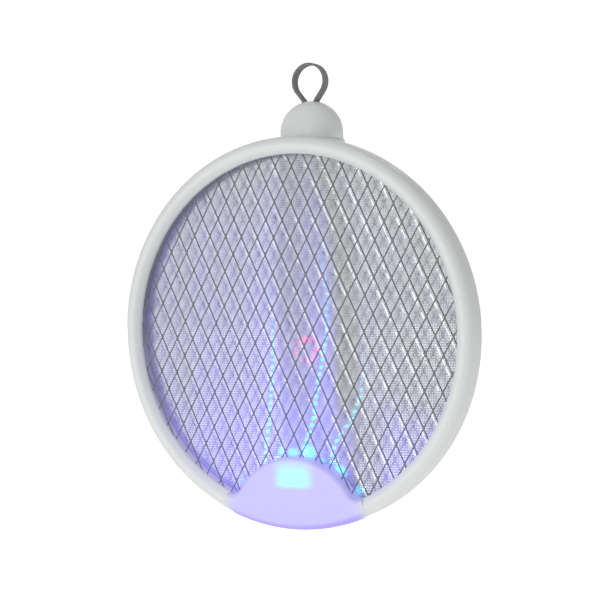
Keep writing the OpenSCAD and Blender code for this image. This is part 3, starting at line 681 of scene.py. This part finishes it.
# Milky cover, lit lilac from inside, with a cyan patch, violet at its lower edge and white at its ends.
def lampPlastic():
    material, tree, shader = plastic("lampPlastic", whiteColour, 0.38, variation=0.015,
                                     Subsurface_Weight=0.05)
    x, y, z, point = rimPoint(tree)
    glow = lampGlow
    lit = mapRange(tree, calc(tree, "ABSOLUTE", x), glow["fade"][1], glow["fade"][0], smooth=True)
    reach = reachOf(tree, x, z)
    edge = mapRange(tree, reach, glow["edge"][0], glow["edge"][1], smooth=True)
    offX = calc(tree, "ABSOLUTE", calc(tree, "SUBTRACT", x, glow["patchX"]))
    patch = calc(tree, "MULTIPLY", mapRange(tree, offX, glow["patchSide"][1], glow["patchSide"][0],
                                            smooth=True),
                 calc(tree, "MULTIPLY", mapRange(tree, z, glow["patchLow"][0], glow["patchLow"][1],
                                                 smooth=True),
                      mapRange(tree, z, glow["patchHigh"][1], glow["patchHigh"][0], smooth=True)))
    base = mixColour(tree, lit, shader.inputs["Base Color"].links[0].from_socket, glow["base"])
    base = mixColour(tree, calc(tree, "MULTIPLY", edge, lit), base, glow["baseEdge"])
    tree.links.new(base, shader.inputs["Base Color"])
    emitted = mixColour(tree, edge, glow["lilac"], glow["violet"])
    emitted = mixColour(tree, patch, emitted, glow["cyan"])
    emitted = mixColour(tree, lit, (0.0, 0.0, 0.0), emitted)
    glowing(tree, shader, emitted)
    return material


lampGlow = {
    "fade": (34.0, 48.0), "edge": (106.0, 109.5), "patchX": 1.0, "patchSide": (5.0, 15.0),
    "patchLow": (-88.0, -84.0), "patchHigh": (-81.0, -68.0),
    "base": (0.4, 0.37, 0.6), "baseEdge": (0.3, 0.24, 0.58),
    "lilac": (0.22, 0.212, 0.46), "violet": (0.13, 0.1, 0.5), "cyan": (0.1, 0.72, 0.56),
}
lampCoverPlastic = lampPlastic()
boardMaterial = circuitBoard()
panelMaterial = lightPanel()
lensMaterial = ledLens()
sleeveMaterial = batterySleeve()
ringMaterial = ringRed()
webbingMaterial = webbing()
clearPlastic = plastic("clearPlastic", (0.8, 0.82, 0.84), 0.15, variation=0.03, Coat_Weight=0.3)[0]
print("materials ready")

# Rim.

rim = {"wall": 2.0, "lip": 100.2, "seatR": 103.6, "frontSeat": 5.0, "rearSeat": 6.6, "half": 10.0,
       "frontRound": 5.0, "backRound": 6.0, "bevelIn": 3.0, "bevelDeep": 3.8, "steps": 200,
       "coverHalf": 24.87, "bossR": 2.2, "screwAngles": [0, 45, 90, 135, 180, 225, 315]}
bossAt = rimR - rim["wall"] - rim["bossR"] - 0.1


# Section of one rim moulding as radius, depth and rounding; side is -1 for the front and 1 for the back.
def rimOutline(seat, corner, side):
    half, wall = rim["half"], rim["wall"]
    shape = [
        (rimR - 0.35, 0, 0), (rimR, 0.35, 0.15), (rimR, half, corner),
        (rim["lip"] + rim["bevelIn"], half, 1.8),
        (rim["lip"], half - rim["bevelDeep"] + 0.2, 0.9), (rim["lip"], seat, 0), (rim["seatR"], seat, 0),
        (rim["seatR"], half - wall, 0),
        (rimR - wall, half - wall, corner - wall), (rimR - wall, 0, 0),
    ]
    return [(r, side * y, rounding) for r, y, rounding in shape]


def boss(angle, side):
    tube = lathe([(0.95, 0, 0), (rim["bossR"], 0, 0),
                  (rim["bossR"], side * (rim["half"] - rim["wall"] + 0.3), 0),
                  (0.95, side * (rim["half"] - rim["wall"] + 0.3), 0)], steps=20, closed=True)
    turn = math.radians(angle)
    shift(tube, (bossAt * math.cos(turn), 0, bossAt * math.sin(turn)))
    return tube


frontSweep = 360 - 2 * rim["coverHalf"]
frontRing = lathe(rimOutline(rim["frontSeat"], rim["frontRound"], -1), steps=rim["steps"], angle=frontSweep,
                  turn=90 + rim["coverHalf"], closed=True)
piece("rim_front", join(frontRing, *[boss(angle, -1) for angle in rim["screwAngles"]]), "head",
      ["front_rim"],
                 rimPlastic)

moon = {"r": 40.5, "wall": 1.8, "backY": 12.0, "backR": 104.0, "leds": [-58, -27, 0, 27, 58],
        "earIn": 16.4, "earOut": 24.4, "barrelR": 4.6, "hingeY": 17.0, "hingeZ": -99.0, "bore": 2.02}


# Points on an arc, by the angle from straight up towards +X.
def arcPoints(centre, radius, start, end, count):
    turns = [math.radians(start + (end - start) * step / count) for step in range(count + 1)]
    return [(centre[0] + radius * math.sin(turn), centre[1] + radius * math.cos(turn)) for turn in turns]


# Angle at the moon's centre where its circle of one radius meets the rim's circle of the other.
def meetAngle(radius, other):
    return math.degrees(math.acos((radius ** 2 + rimR ** 2 - other ** 2) / (2 * radius * rimR)))


moonMiddle = (0.0, -rimR)
wallReach = meetAngle(moon["r"], rimR - rim["wall"])


def rod(radius, lowY, highY, x=0.0, z=0.0, steps=24, rounding=0.0):
    made = lathe([(0, lowY, 0), (radius, lowY, rounding), (radius, highY, rounding), (0, highY, 0)],
                 steps=steps)
    shift(made, (x, 0, z))
    return made


# A slab on an outline of (x, z, rounding) corners.
def shapedPlate(corners, lowY, highY, segments=8):
    bm = bmesh.new()
    verts = [bm.verts.new((x, lowY, z)) for x, z, _ in corners]
    bm.faces.new(verts)
    for vert, corner in zip(verts, corners):
        if corner[2]:
            bmesh.ops.bevel(bm, geom=[vert], offset=corner[2], segments=segments, profile=0.5,
                            affect="VERTICES", material=-1, clamp_overlap=True)
    grown = bmesh.ops.extrude_face_region(bm, geom=bm.faces[:])
    bmesh.ops.translate(bm, verts=eachVert(grown["geom"]), vec=(0, highY - lowY, 0))
    bmesh.ops.recalc_face_normals(bm, faces=bm.faces[:])
    return bm


# Corners on the +X side, from the top down, and their mirror image.
def mirrored(corners):
    return corners + [(-x, z, rounding) for x, z, rounding in reversed(corners)]


moonWall = lathe([(moon["r"] - moon["wall"], 0, 0), (moon["r"], 0, 0), (moon["r"], moon["backY"], 1.2),
                  (moon["r"] - moon["wall"], moon["backY"], 0)],
                 steps=60, angle=2 * wallReach, turn=-90 - wallReach, closed=True)
shift(moonWall, (0, 0, -rimR))

backReach = meetAngle(moon["r"], moon["backR"])
lowReach = meetAngle(moon["backR"], moon["r"])
backOutline = arcPoints(moonMiddle, moon["r"], -backReach, backReach, 60)
backOutline += arcPoints((0, 0), moon["backR"], 180 - lowReach + 0.3, 180 + lowReach - 0.3, 24)
moonBack = plate(backOutline, rim["half"] - 0.5, moon["backY"])
roundEdges(moonBack, edgesAt(moonBack, moon["backY"]), 1.2, 3)

notch = {"r": 6.0}
notch["z"] = ((rim["lip"] - notch["r"]) ** 2 - (moon["r"] + notch["r"]) ** 2 + rimR ** 2) / (-2 * rimR)
notch["x"] = math.sqrt((rim["lip"] - notch["r"]) ** 2 - notch["z"] ** 2)
touchMoon = math.degrees(math.atan2(-notch["x"], -rimR - notch["z"]))
touchLip = math.degrees(math.atan2(notch["x"], notch["z"]))
moonTouch = math.degrees(math.atan2(notch["x"], notch["z"] + rimR))


# The fillet between the half-moon and the lip, from the moon to the lip.
def notchArc(side):
    points = arcPoints((notch["x"], notch["z"]), notch["r"], touchMoon + 360, touchLip, 12)
    return [(side * x, z) for x, z in points]


def rearWeb(side):
    arc = notchArc(side)
    return plate(arc + [(arc[-1][0] - side * 2, arc[-1][1] - 3), (arc[0][0] - side * 1.5, arc[0][1] - 4)],
                 rim["rearSeat"], rim["half"])


# A round barrel on the hinge's line, with a bore for the pin.
def hingeBarrel(bore, width, centreX, steps):
    outer = moon["barrelR"]
    section = [(bore, -width / 2, 0), (outer, -width / 2, 0.6), (outer, width / 2, 0.6),
               (bore, width / 2, 0)]
    return along(lathe(section, steps=steps, closed=True), (1, 0, 0),
                 (centreX, moon["hingeY"], moon["hingeZ"]))


def hingeEar(side):
    centreX = side * (moon["earIn"] + moon["earOut"]) / 2
    width = moon["earOut"] - moon["earIn"]
    barrel = hingeBarrel(moon["bore"], width, centreX, 40)
    deep = moon["hingeY"] - moon["backY"] + 1
    return [barrel, block((width, deep, 2 * moon["barrelR"]),
                          (centreX, moon["backY"] - 1 + deep / 2 - 1.6, moon["hingeZ"]), 0.5)]


rearRing = lathe(rimOutline(rim["rearSeat"], rim["backRound"], 1), steps=rim["steps"], closed=True)
recesses = []
for angle in rim["screwAngles"]:
    turn = math.radians(angle)
    recesses.append(rod(1.85, rim["half"] - 1.5, rim["half"] + 1, bossAt * math.cos(turn),
                        bossAt * math.sin(turn)))
rearRing = carved(rearRing, join(*recesses))
piece("rim_rear", join(rearRing, moonWall, moonBack, rearWeb(-1), rearWeb(1), *hingeEar(-1), *hingeEar(1),
                                 *[boss(angle, 1) for angle in rim["screwAngles"]]), "head", ["rear_rim"],
      whitePlastic)

cover = {"half": 24.95, "stepAt": 21.9, "stepEnd": 20.9, "proud": 0.6, "wall": 2.0, "edge": 2.4,
         "steps": 44}


def coverOutline():
    low, step = cover["half"], cover["stepAt"]
    bottom = arcPoints((0, 0), rimR, 180 - low, 180 - step, 4)
    bottom += arcPoints((0, 0), rimR + cover["proud"], 180 - cover["stepEnd"], 180 + cover["stepEnd"],
                        cover["steps"])
    bottom += arcPoints((0, 0), rimR, 180 + step, 180 + low, 4)
    top = arcPoints(moonMiddle, moon["r"], -moonTouch, moonTouch, 60)[1:-1]
    return bottom, list(reversed(notchArc(-1))) + top + notchArc(1)


bottomEdge, topEdge = coverOutline()
coverShape = plate(bottomEdge + topEdge, frontY, 0)
outerAt = [e for e in edgesAt(coverShape, frontY) if all(v.co.xz.length > rimR - 1 for v in e.verts)]
roundEdges(coverShape, outerAt, rim["frontRound"], 6)
innerAt = [e for e in edgesAt(coverShape, frontY)
           if all(v.co.xz.length < rim["lip"] + 0.5 and v.co.z > -rimR + 15 for v in e.verts)]
roundEdges(coverShape, innerAt, cover["edge"], 4)
bmesh.ops.delete(coverShape, geom=[f for f in coverShape.faces if all(abs(v.co.y) < 1e-4 for v in f.verts)],
                 context="FACES_ONLY")
piece("lamp_window", hollowed(coverShape, cover["wall"]), "head", ["lamp_cover"],
      lampCoverPlastic)
print("rim and lamp cover ready")

# Grids.

# The stretches of a line inside the round frame and outside the half-moon.
def keptSpans(start, direction, reach, moonR):
    def crossings(centre, radius):
        offset = start - Vector(centre)
        ahead, rest = offset.dot(direction), offset.length_squared - radius ** 2
        inner = ahead ** 2 - rest
        return None if inner <= 0 else (-ahead - math.sqrt(inner), -ahead + math.sqrt(inner))

    outer = crossings((0, 0), reach)
    if outer is None:
        return []
    gap = crossings(moonMiddle, moonR)
    spans = [outer] if gap is None else [(outer[0], min(outer[1], gap[0])),
                                         (max(outer[0], gap[1]), outer[1])]
    return [(low, high) for low, high in spans if high - low > 1.2]


# Lays one strand of (width, depth) along a line in the grid's plane.
def bar(bm, start, direction, span, y, size, twist=0.0):
    middleAt = start + direction * (span[0] + span[1]) / 2
    lengthways = Vector((direction.x, 0, direction.y))
    face = Matrix.Rotation(math.radians(twist), 3, lengthways) @ Vector((0, 1, 0))
    across = lengthways.cross(face)
    turned = Matrix((lengthways, face, across)).transposed().to_4x4()
    scale = Matrix.Diagonal((span[1] - span[0], size[1], size[0], 1))
    place = Matrix.Translation((middleAt.x, y, middleAt.y))
    bmesh.ops.create_cube(bm, size=1, matrix=place @ turned @ scale)


# The flat band round a grid.
def edgeBand(y, thick):
    inner, outer = lattice["band"]
    gapAngle = meetAngle(outer, moon["r"] + 0.5)
    low, high = y - thick / 2, y + thick / 2
    return lathe([(inner, low, 0), (outer, low, 0), (outer, high, 0), (inner, high, 0)], steps=160,
                 angle=360 - 2 * gapAngle, turn=90 + gapAngle, closed=True)


# Expanded metal: tilted strands that cross at long bonds.
def diamondGrid(y):
    bm = edgeBand(y, lattice["thick"])
    halfW, halfH = lattice["width"] / 2, lattice["height"] / 2
    lean = Matrix.Rotation(math.radians(-lattice["lean"]), 2)
    count = 2 * math.ceil(rimR / halfW)
    for slant in (-1, 1):
        direction = lean @ Vector((halfW, slant * halfH)).normalized()
        for step in range(-count - 1, count + 1):
            start = lean @ Vector((lattice["shiftX"] + (2 * step + 1) * halfW, lattice["shiftZ"]))
            for span in keptSpans(start, direction, lattice["reach"], moon["r"] + lattice["moonClear"]):
                size = (lattice["strand"], lattice["deep"])
                bar(bm, start, direction, span, y + slant * lattice["lap"], size, slant * lattice["twist"])
    rows = math.ceil(rimR / halfH) + 1
    faceOn = Matrix.Rotation(math.radians(90), 4, "X")
    for column in range(-count, count + 1):
        for row in range(-rows, rows + 1):
            if (column + row) % 2 == 0:
                continue
            at = lean @ Vector((lattice["shiftX"] + column * halfW, lattice["shiftZ"] + row * halfH))
            if at.length < lattice["band"][0] and (at - Vector(moonMiddle)).length > moon["r"] + 2:
                leaned = Matrix.Rotation(math.radians(lattice["lean"]), 4, "Y")
                sized = Matrix.Diagonal((lattice["bond"][0], 1, lattice["bond"][2], 1))
                place = Matrix.Translation((at.x, y, at.y)) @ leaned @ sized @ faceOn
                bmesh.ops.create_cone(bm, segments=8, cap_ends=True, radius1=0.5, radius2=0.5,
                                      depth=lattice["bond"][1], matrix=place)
    return bm


# Close mesh of flat wires, laid over each other both ways.
def fineMesh():
    bm = edgeBand(weave["y"], 0.4)
    sideways, upwards = Vector((1, 0)), Vector((0, 1))
    layers = [(weave["uprights"], sideways, upwards, weave["lift"]),
              (weave["rungs"], upwards, sideways, -weave["lift"])]
    for (pitch, wire), across, direction, lift in layers:
        count = math.ceil(rimR / pitch)
        for step in range(-count, count + 1):
            start = across * (step * pitch)
            for span in keptSpans(start, direction, lattice["reach"], moon["r"] + lattice["moonClear"]):
                bar(bm, start, direction, span, weave["y"] + lift, (wire, weave["thick"]))
    return bm


piece("grid_front", diamondGrid(lattice["frontY"]), "head", ["front_grid"], frontGridMetal)
piece("grid_middle", fineMesh(), "head", ["middle_grid"], meshMetal)
piece("grid_rear", diamondGrid(lattice["rearY"]), "head", ["rear_grid"], rearGridMetal)
print("grids ready")

# Lamp, pin and handle.

led = {"r": 1.5, "base": 35.7, "tip": 43.5, "y": 8.4}
for number, angle in enumerate(moon["leds"], 1):
    lens = lathe([(0, led["base"], 0), (led["r"], led["base"], 0.15), (led["r"], led["tip"], 1.45),
                  (0, led["tip"], 0)], steps=28, segments=7)
    turn = math.radians(angle)
    along(lens, (math.sin(turn), 0, math.cos(turn)), (0, led["y"], -rimR))
    piece("lens_%d" % number, lens, "head", ["uv_led_%d" % number], lensMaterial)

pinSize = {"half": 25.5, "headFrom": 24.5, "headR": 3.2, "r": 2.0, "rounding": 0.7}
pinEnd = [(0, pinSize["half"], 0), (pinSize["headR"], pinSize["half"], pinSize["rounding"]),
          (pinSize["headR"], pinSize["headFrom"], 0), (pinSize["r"], pinSize["headFrom"], 0)]
pin = lathe([(r, -y, rounding) for r, y, rounding in pinEnd] + pinEnd[::-1], steps=40)
piece("hinge_rivet", along(pin, (1, 0, 0), (0, moon["hingeY"], moon["hingeZ"])), "head", ["hinge_pin"],
      contactSteel)

handle = {"front": 13.5, "back": 43.5, "split": 28.5, "palm": 22.0, "neck": 16.5, "low": -86.0,
          "high": 110.0, "corner": 9.0,
          "wall": 2.2, "groove": 0.25, "buttonZ": -10.2, "ringR": 7.5, "switchZ": -45.0}
handleCorners = mirrored([(handle["neck"], handle["high"], 0), (handle["palm"], 45.0, 22.0),
                          (handle["palm"], -15.0, 22.0),
                          (18.9, handle["low"], 7.0)])


# One half of the handle; side is -1 for the front and 1 for the back.
def shell(side):
    face = handle["front"] if side < 0 else handle["back"]
    split = handle["split"] + side * handle["groove"] / 2
    bm = shapedPlate(handleCorners, min(face, split), max(face, split))
    flush = lambda v: abs(v.co.z - handle["high"]) < 1e-3
    roundEdges(bm, [e for e in edgesAt(bm, face) if not all(flush(v) for v in e.verts)], handle["corner"],
               8)
    gone = [f for f in bm.faces if all(abs(v.co.y - split) < 1e-3 for v in f.verts)
            or all(flush(v) for v in f.verts)]
    bmesh.ops.delete(bm, geom=gone, context="FACES_ONLY")
    return hollowed(bm, handle["wall"])


# openings in the shells as size, middle, rounding and steps of the rounding
cuts = {"usb": ((9.2, 3.5, 8), (0, 27.25, handle["low"]), 1.2, 3),
        "arm": ((31.6, 10.3, 7), (0, 16.55, handle["low"]), 0.6),
        "switch": ((5.6, 6, 12.6), (0, 14.5, handle["switchZ"] + 3), 0.8),
        "pad": ((14, 1.8, 5), (0, 13.2, 103.5), 0.3),
        "screws": [(-15, -55), (15, -55), (-15, 20), (15, 20), (0, 102)], "screwR": 1.85, "lightR": 1.55,
        "lightZ": -60}
frontCuts = join(rod(handle["ringR"] + 0.02, 12, 18, 0, handle["buttonZ"], 48), block(*cuts["switch"]),
                 block(*cuts["arm"]), block(*cuts["pad"]))
piece("handle_front", carved(carved(shell(-1), frontCuts), block(*cuts["usb"])), "handle",
      ["handle_front_shell"], whitePlastic)
rearCuts = join(*[rod(cuts["screwR"], 41.8, 45, x, z) for x, z in cuts["screws"]],
                rod(cuts["lightR"], 39, 45, 0, cuts["lightZ"]))
piece("handle_rear", carved(carved(shell(1), rearCuts), block(*cuts["usb"])), "handle",
      ["handle_rear_shell"], whitePlastic)

cap = {"top": 132.7, "half": 18.1, "flare": 3.0, "power": 2.4, "neckPower": 4.0, "wall": 2.2, "slotX": 3.6,
       "steps": 20, "turns": 96}


# The rounded end of the handle, with two slots for the strap:
# a turned dome, narrower from front to back and a little squared.
def endCap():
    low, high = handle["high"] + 0.15, cap["top"] - cap["half"]
    rise = low + cap["flare"]
    outline = [(0, low, 0), (handle["neck"], low, 0), (cap["half"], rise, 0)]
    for step in range(cap["steps"]):
        angle = math.pi / 2 * step / cap["steps"]
        outline.append((cap["half"] * math.cos(angle), high + cap["half"] * math.sin(angle), 0))
    bm = along(lathe(outline + [(0, cap["top"], 0)], steps=cap["turns"]), (0, 0, 1), (0, 0, 0))
    halfDepth = (handle["back"] - handle["front"]) / 2
    for vert in bm.verts:
        reach = math.hypot(vert.co.x, vert.co.y)
        if reach > 1e-4:
            share = min(1.0, (vert.co.z - low) / cap["flare"])
            power = cap["neckPower"] + (cap["power"] - cap["neckPower"]) * share
            squash = halfDepth / (handle["neck"] + (cap["half"] - handle["neck"]) * share)
            cosine, sine = vert.co.x / reach, vert.co.y / reach
            reach *= (abs(cosine) ** power + abs(sine) ** power) ** (-1 / power)
            vert.co.x, vert.co.y = reach * cosine, reach * sine * squash
    shift(bm, (0, handle["split"], 0))
    bmesh.ops.delete(bm, geom=[f for f in bm.faces if all(abs(v.co.z - low) < 1e-3 for v in f.verts)],
                     context="FACES_ONLY")
    slots = join(*[block((2.2, 6.3, 20), (side * cap["slotX"], handle["split"], cap["top"]), 0.5)
                   for side in (-1, 1)])
    return carved(hollowed(bm, cap["wall"]), slots)


piece("handle_cap", endCap(), "handle", ["end_cap"], whitePlastic, 50)

strap = {"width": 5.5, "thick": 1.2, "centreZ": 144.1, "radius": 9.4, "tangent": 124.0, "leg": 3.0,
         "legZ": 131.7, "pinZ": 121.0, "pinR": 1.6}


# Flat tape, round over the top, drawn in to the cap and round its pin.
def strapLoop():
    points = [(-strap["leg"], strap["legZ"]), (-strap["leg"] - 0.4, strap["legZ"] + 1.5)]
    points += arcPoints((0, strap["centreZ"]), strap["radius"], -strap["tangent"], strap["tangent"], 72)
    points += [(strap["leg"] + 0.4, strap["legZ"] + 1.5), (strap["leg"], strap["legZ"]), (2.2, 125.0)]
    points += arcPoints((0, strap["pinZ"]), strap["pinR"], 90, 270, 12) + [(-2.2, 125.0)]
    bm = bmesh.new()
    lowY = handle["split"] - strap["width"] / 2
    verts = [bm.verts.new((x, lowY, z)) for x, z in points]
    run = [0.0]
    for first, second in zip(verts, verts[1:] + verts[:1]):
        bm.edges.new((first, second))
        run.append(run[-1] + (second.co - first.co).length)
    order = {vert: place for place, vert in enumerate(verts)}
    grown = bmesh.ops.extrude_edge_only(bm, edges=bm.edges[:])
    bmesh.ops.translate(bm, verts=eachVert(grown["geom"]), vec=(0, strap["width"], 0))
    uv = bm.loops.layers.uv.new("UVMap")
    for face in bm.faces:
        places = sorted(order[v] for v in face.verts if v in order)
        first = places[1] if places == [0, len(verts) - 1] else places[0]
        for loop in face.loops:
            base = verts[first].co
            onFirst = abs(loop.vert.co.x - base.x) < 1e-6 and abs(loop.vert.co.z - base.z) < 1e-6
            loop[uv].uv = (run[first] if onFirst else run[first + 1], loop.vert.co.y - lowY)
    bmesh.ops.recalc_face_normals(bm, faces=bm.faces[:])
    return bm


strapSkin = strapLoop()
for face in strapSkin.faces:
    outward = face.calc_center_median() - Vector((0, handle["split"], strap["centreZ"]))
    if face.calc_center_median().z > strap["centreZ"] and face.normal.dot(outward) < 0:
        bmesh.ops.reverse_faces(strapSkin, faces=strapSkin.faces[:])
        break
piece("strap_loop", hollowed(strapSkin, -strap["thick"]), "handle", ["wrist_loop"],
      webbingMaterial)

# ring and button as radius, depth and rounding, from the front face back
ringShape = [(5.2, 12.0, 0.35), (7.45, 12.0, 0.6), (7.45, 15.75, 0), (9.0, 15.75, 0), (9.0, 16.7, 0),
             (5.2, 16.7, 0)]
ring = lathe(ringShape, steps=64, closed=True)
shift(ring, (0, 0, handle["buttonZ"]))
piece("light_ring", ring, "handle", ["button_ring"], ringMaterial)

buttonShape = [(0, 12.75, 0), (3.4, 12.62, 0.4), (4.1, 12.3, 0.3), (4.95, 12.35, 0.5), (4.95, 17.0, 0),
               (6.15, 17.0, 0),
               (6.15, 18.0, 0), (2.0, 18.0, 0), (2.0, 19.0, 0), (0, 19.0, 0)]
button = lathe(buttonShape, steps=56)
shift(button, (0, 0, handle["buttonZ"]))
piece("press_button", button, "power_button", ["power_button"], buttonPlastic)

# the slider's blocks as size, depth and rounding; its ribs stand a pitch apart
slide = {"thumb": ((5, 4, 6), 14.6, 0.5), "plate": ((9, 1, 12), 16.4, 0.2), "peg": ((2, 2, 2), 17.5, 0.2),
         "rib": ((4.2, 0.6, 0.5), 12.75, 0.15), "pitch": 1.1}
slider = []
for part, steps, places in (("thumb", 3, [0]), ("plate", 2, [0]), ("peg", 2, [0]),
                            ("rib", 2, [-2, -1, 0, 1, 2])):
    size, depth, rounding = slide[part]
    slider += [block(size, (0, depth, handle["switchZ"] + step * slide["pitch"]), rounding, steps)
               for step in places]
piece("mode_slider", join(*slider), "mode_switch", ["mode_switch"], buttonPlastic)

arm = {"half": 15.5, "front": 13.0, "back": 21.4, "top": -83.6, "bore": 2.05, "pocket": (8.6, 4, 8.2),
       "pocketAt": (-9.8, 0, 9.8),
       "pocketZ": -89.4, "root": (26, 5.8, 15), "rootAt": (0, 18.7, -77.1), "screwX": 8, "screwZ": -76}
armBlock = block((2 * arm["half"], arm["back"] - arm["front"], arm["top"] - moon["hingeZ"]),
                 (0, (arm["front"] + arm["back"]) / 2, (arm["top"] + moon["hingeZ"]) / 2), 0.7, 3)
pockets = join(*[block(arm["pocket"], (x, arm["back"] - 0.6, arm["pocketZ"]), 0.8)
                 for x in arm["pocketAt"]])
armBarrel = hingeBarrel(arm["bore"], 2 * arm["half"], 0, 48)
armRoot = block(arm["root"], arm["rootAt"], 0.6)
armScrewHoles = join(*[rod(cuts["screwR"], 20.7, 23, x, arm["screwZ"])
                       for x in (-arm["screwX"], arm["screwX"])])
piece("fold_arm", join(carved(armBlock, pockets), armBarrel, carved(armRoot, armScrewHoles)), "handle",
      ["hinge_arm"], whitePlastic)

padLow, padHigh = sizeOf("fold_pad")
piece("rest_pad", block(tuple(padHigh - padLow), (padLow + padHigh) / 2, 0.8, 4), "handle", ["fold_pad"],
      padRubber)
print("handle ready")

# Finishes of the CAD nodes that stay as they are.

finishes = {
    "front_spacer": spacerPlastic, "rear_spacer": spacerPlastic, "lamp_board": boardMaterial,
    "front_light": panelMaterial,
    "outer_grid_terminal": brass, "middle_grid_terminal": brass, "rim_screws": screwSteel,
    "contact_washer_left": brass,
    "contact_washer_right": brass, "arm_screws": screwSteel, "shell_screws": screwSteel,
    "strap_pin": contactSteel,
    "battery_cell": sleeveMaterial, "battery_contact_top": contactSteel,
    "battery_contact_bottom": contactSteel,
    "main_board": boardMaterial, "transformer": ferrite, "storage_capacitor": capacitorFilm,
    "press_switch": blackPlastic,
    "slide_switch": contactSteel, "usb_socket": contactSteel, "light_pipe": clearPlastic,
}
for node, material in finishes.items():
    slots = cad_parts[node].data.materials
    if not slots:
        slots.append(material)
    for place in range(len(slots)):
        slots[place] = material
print("finishes ready")
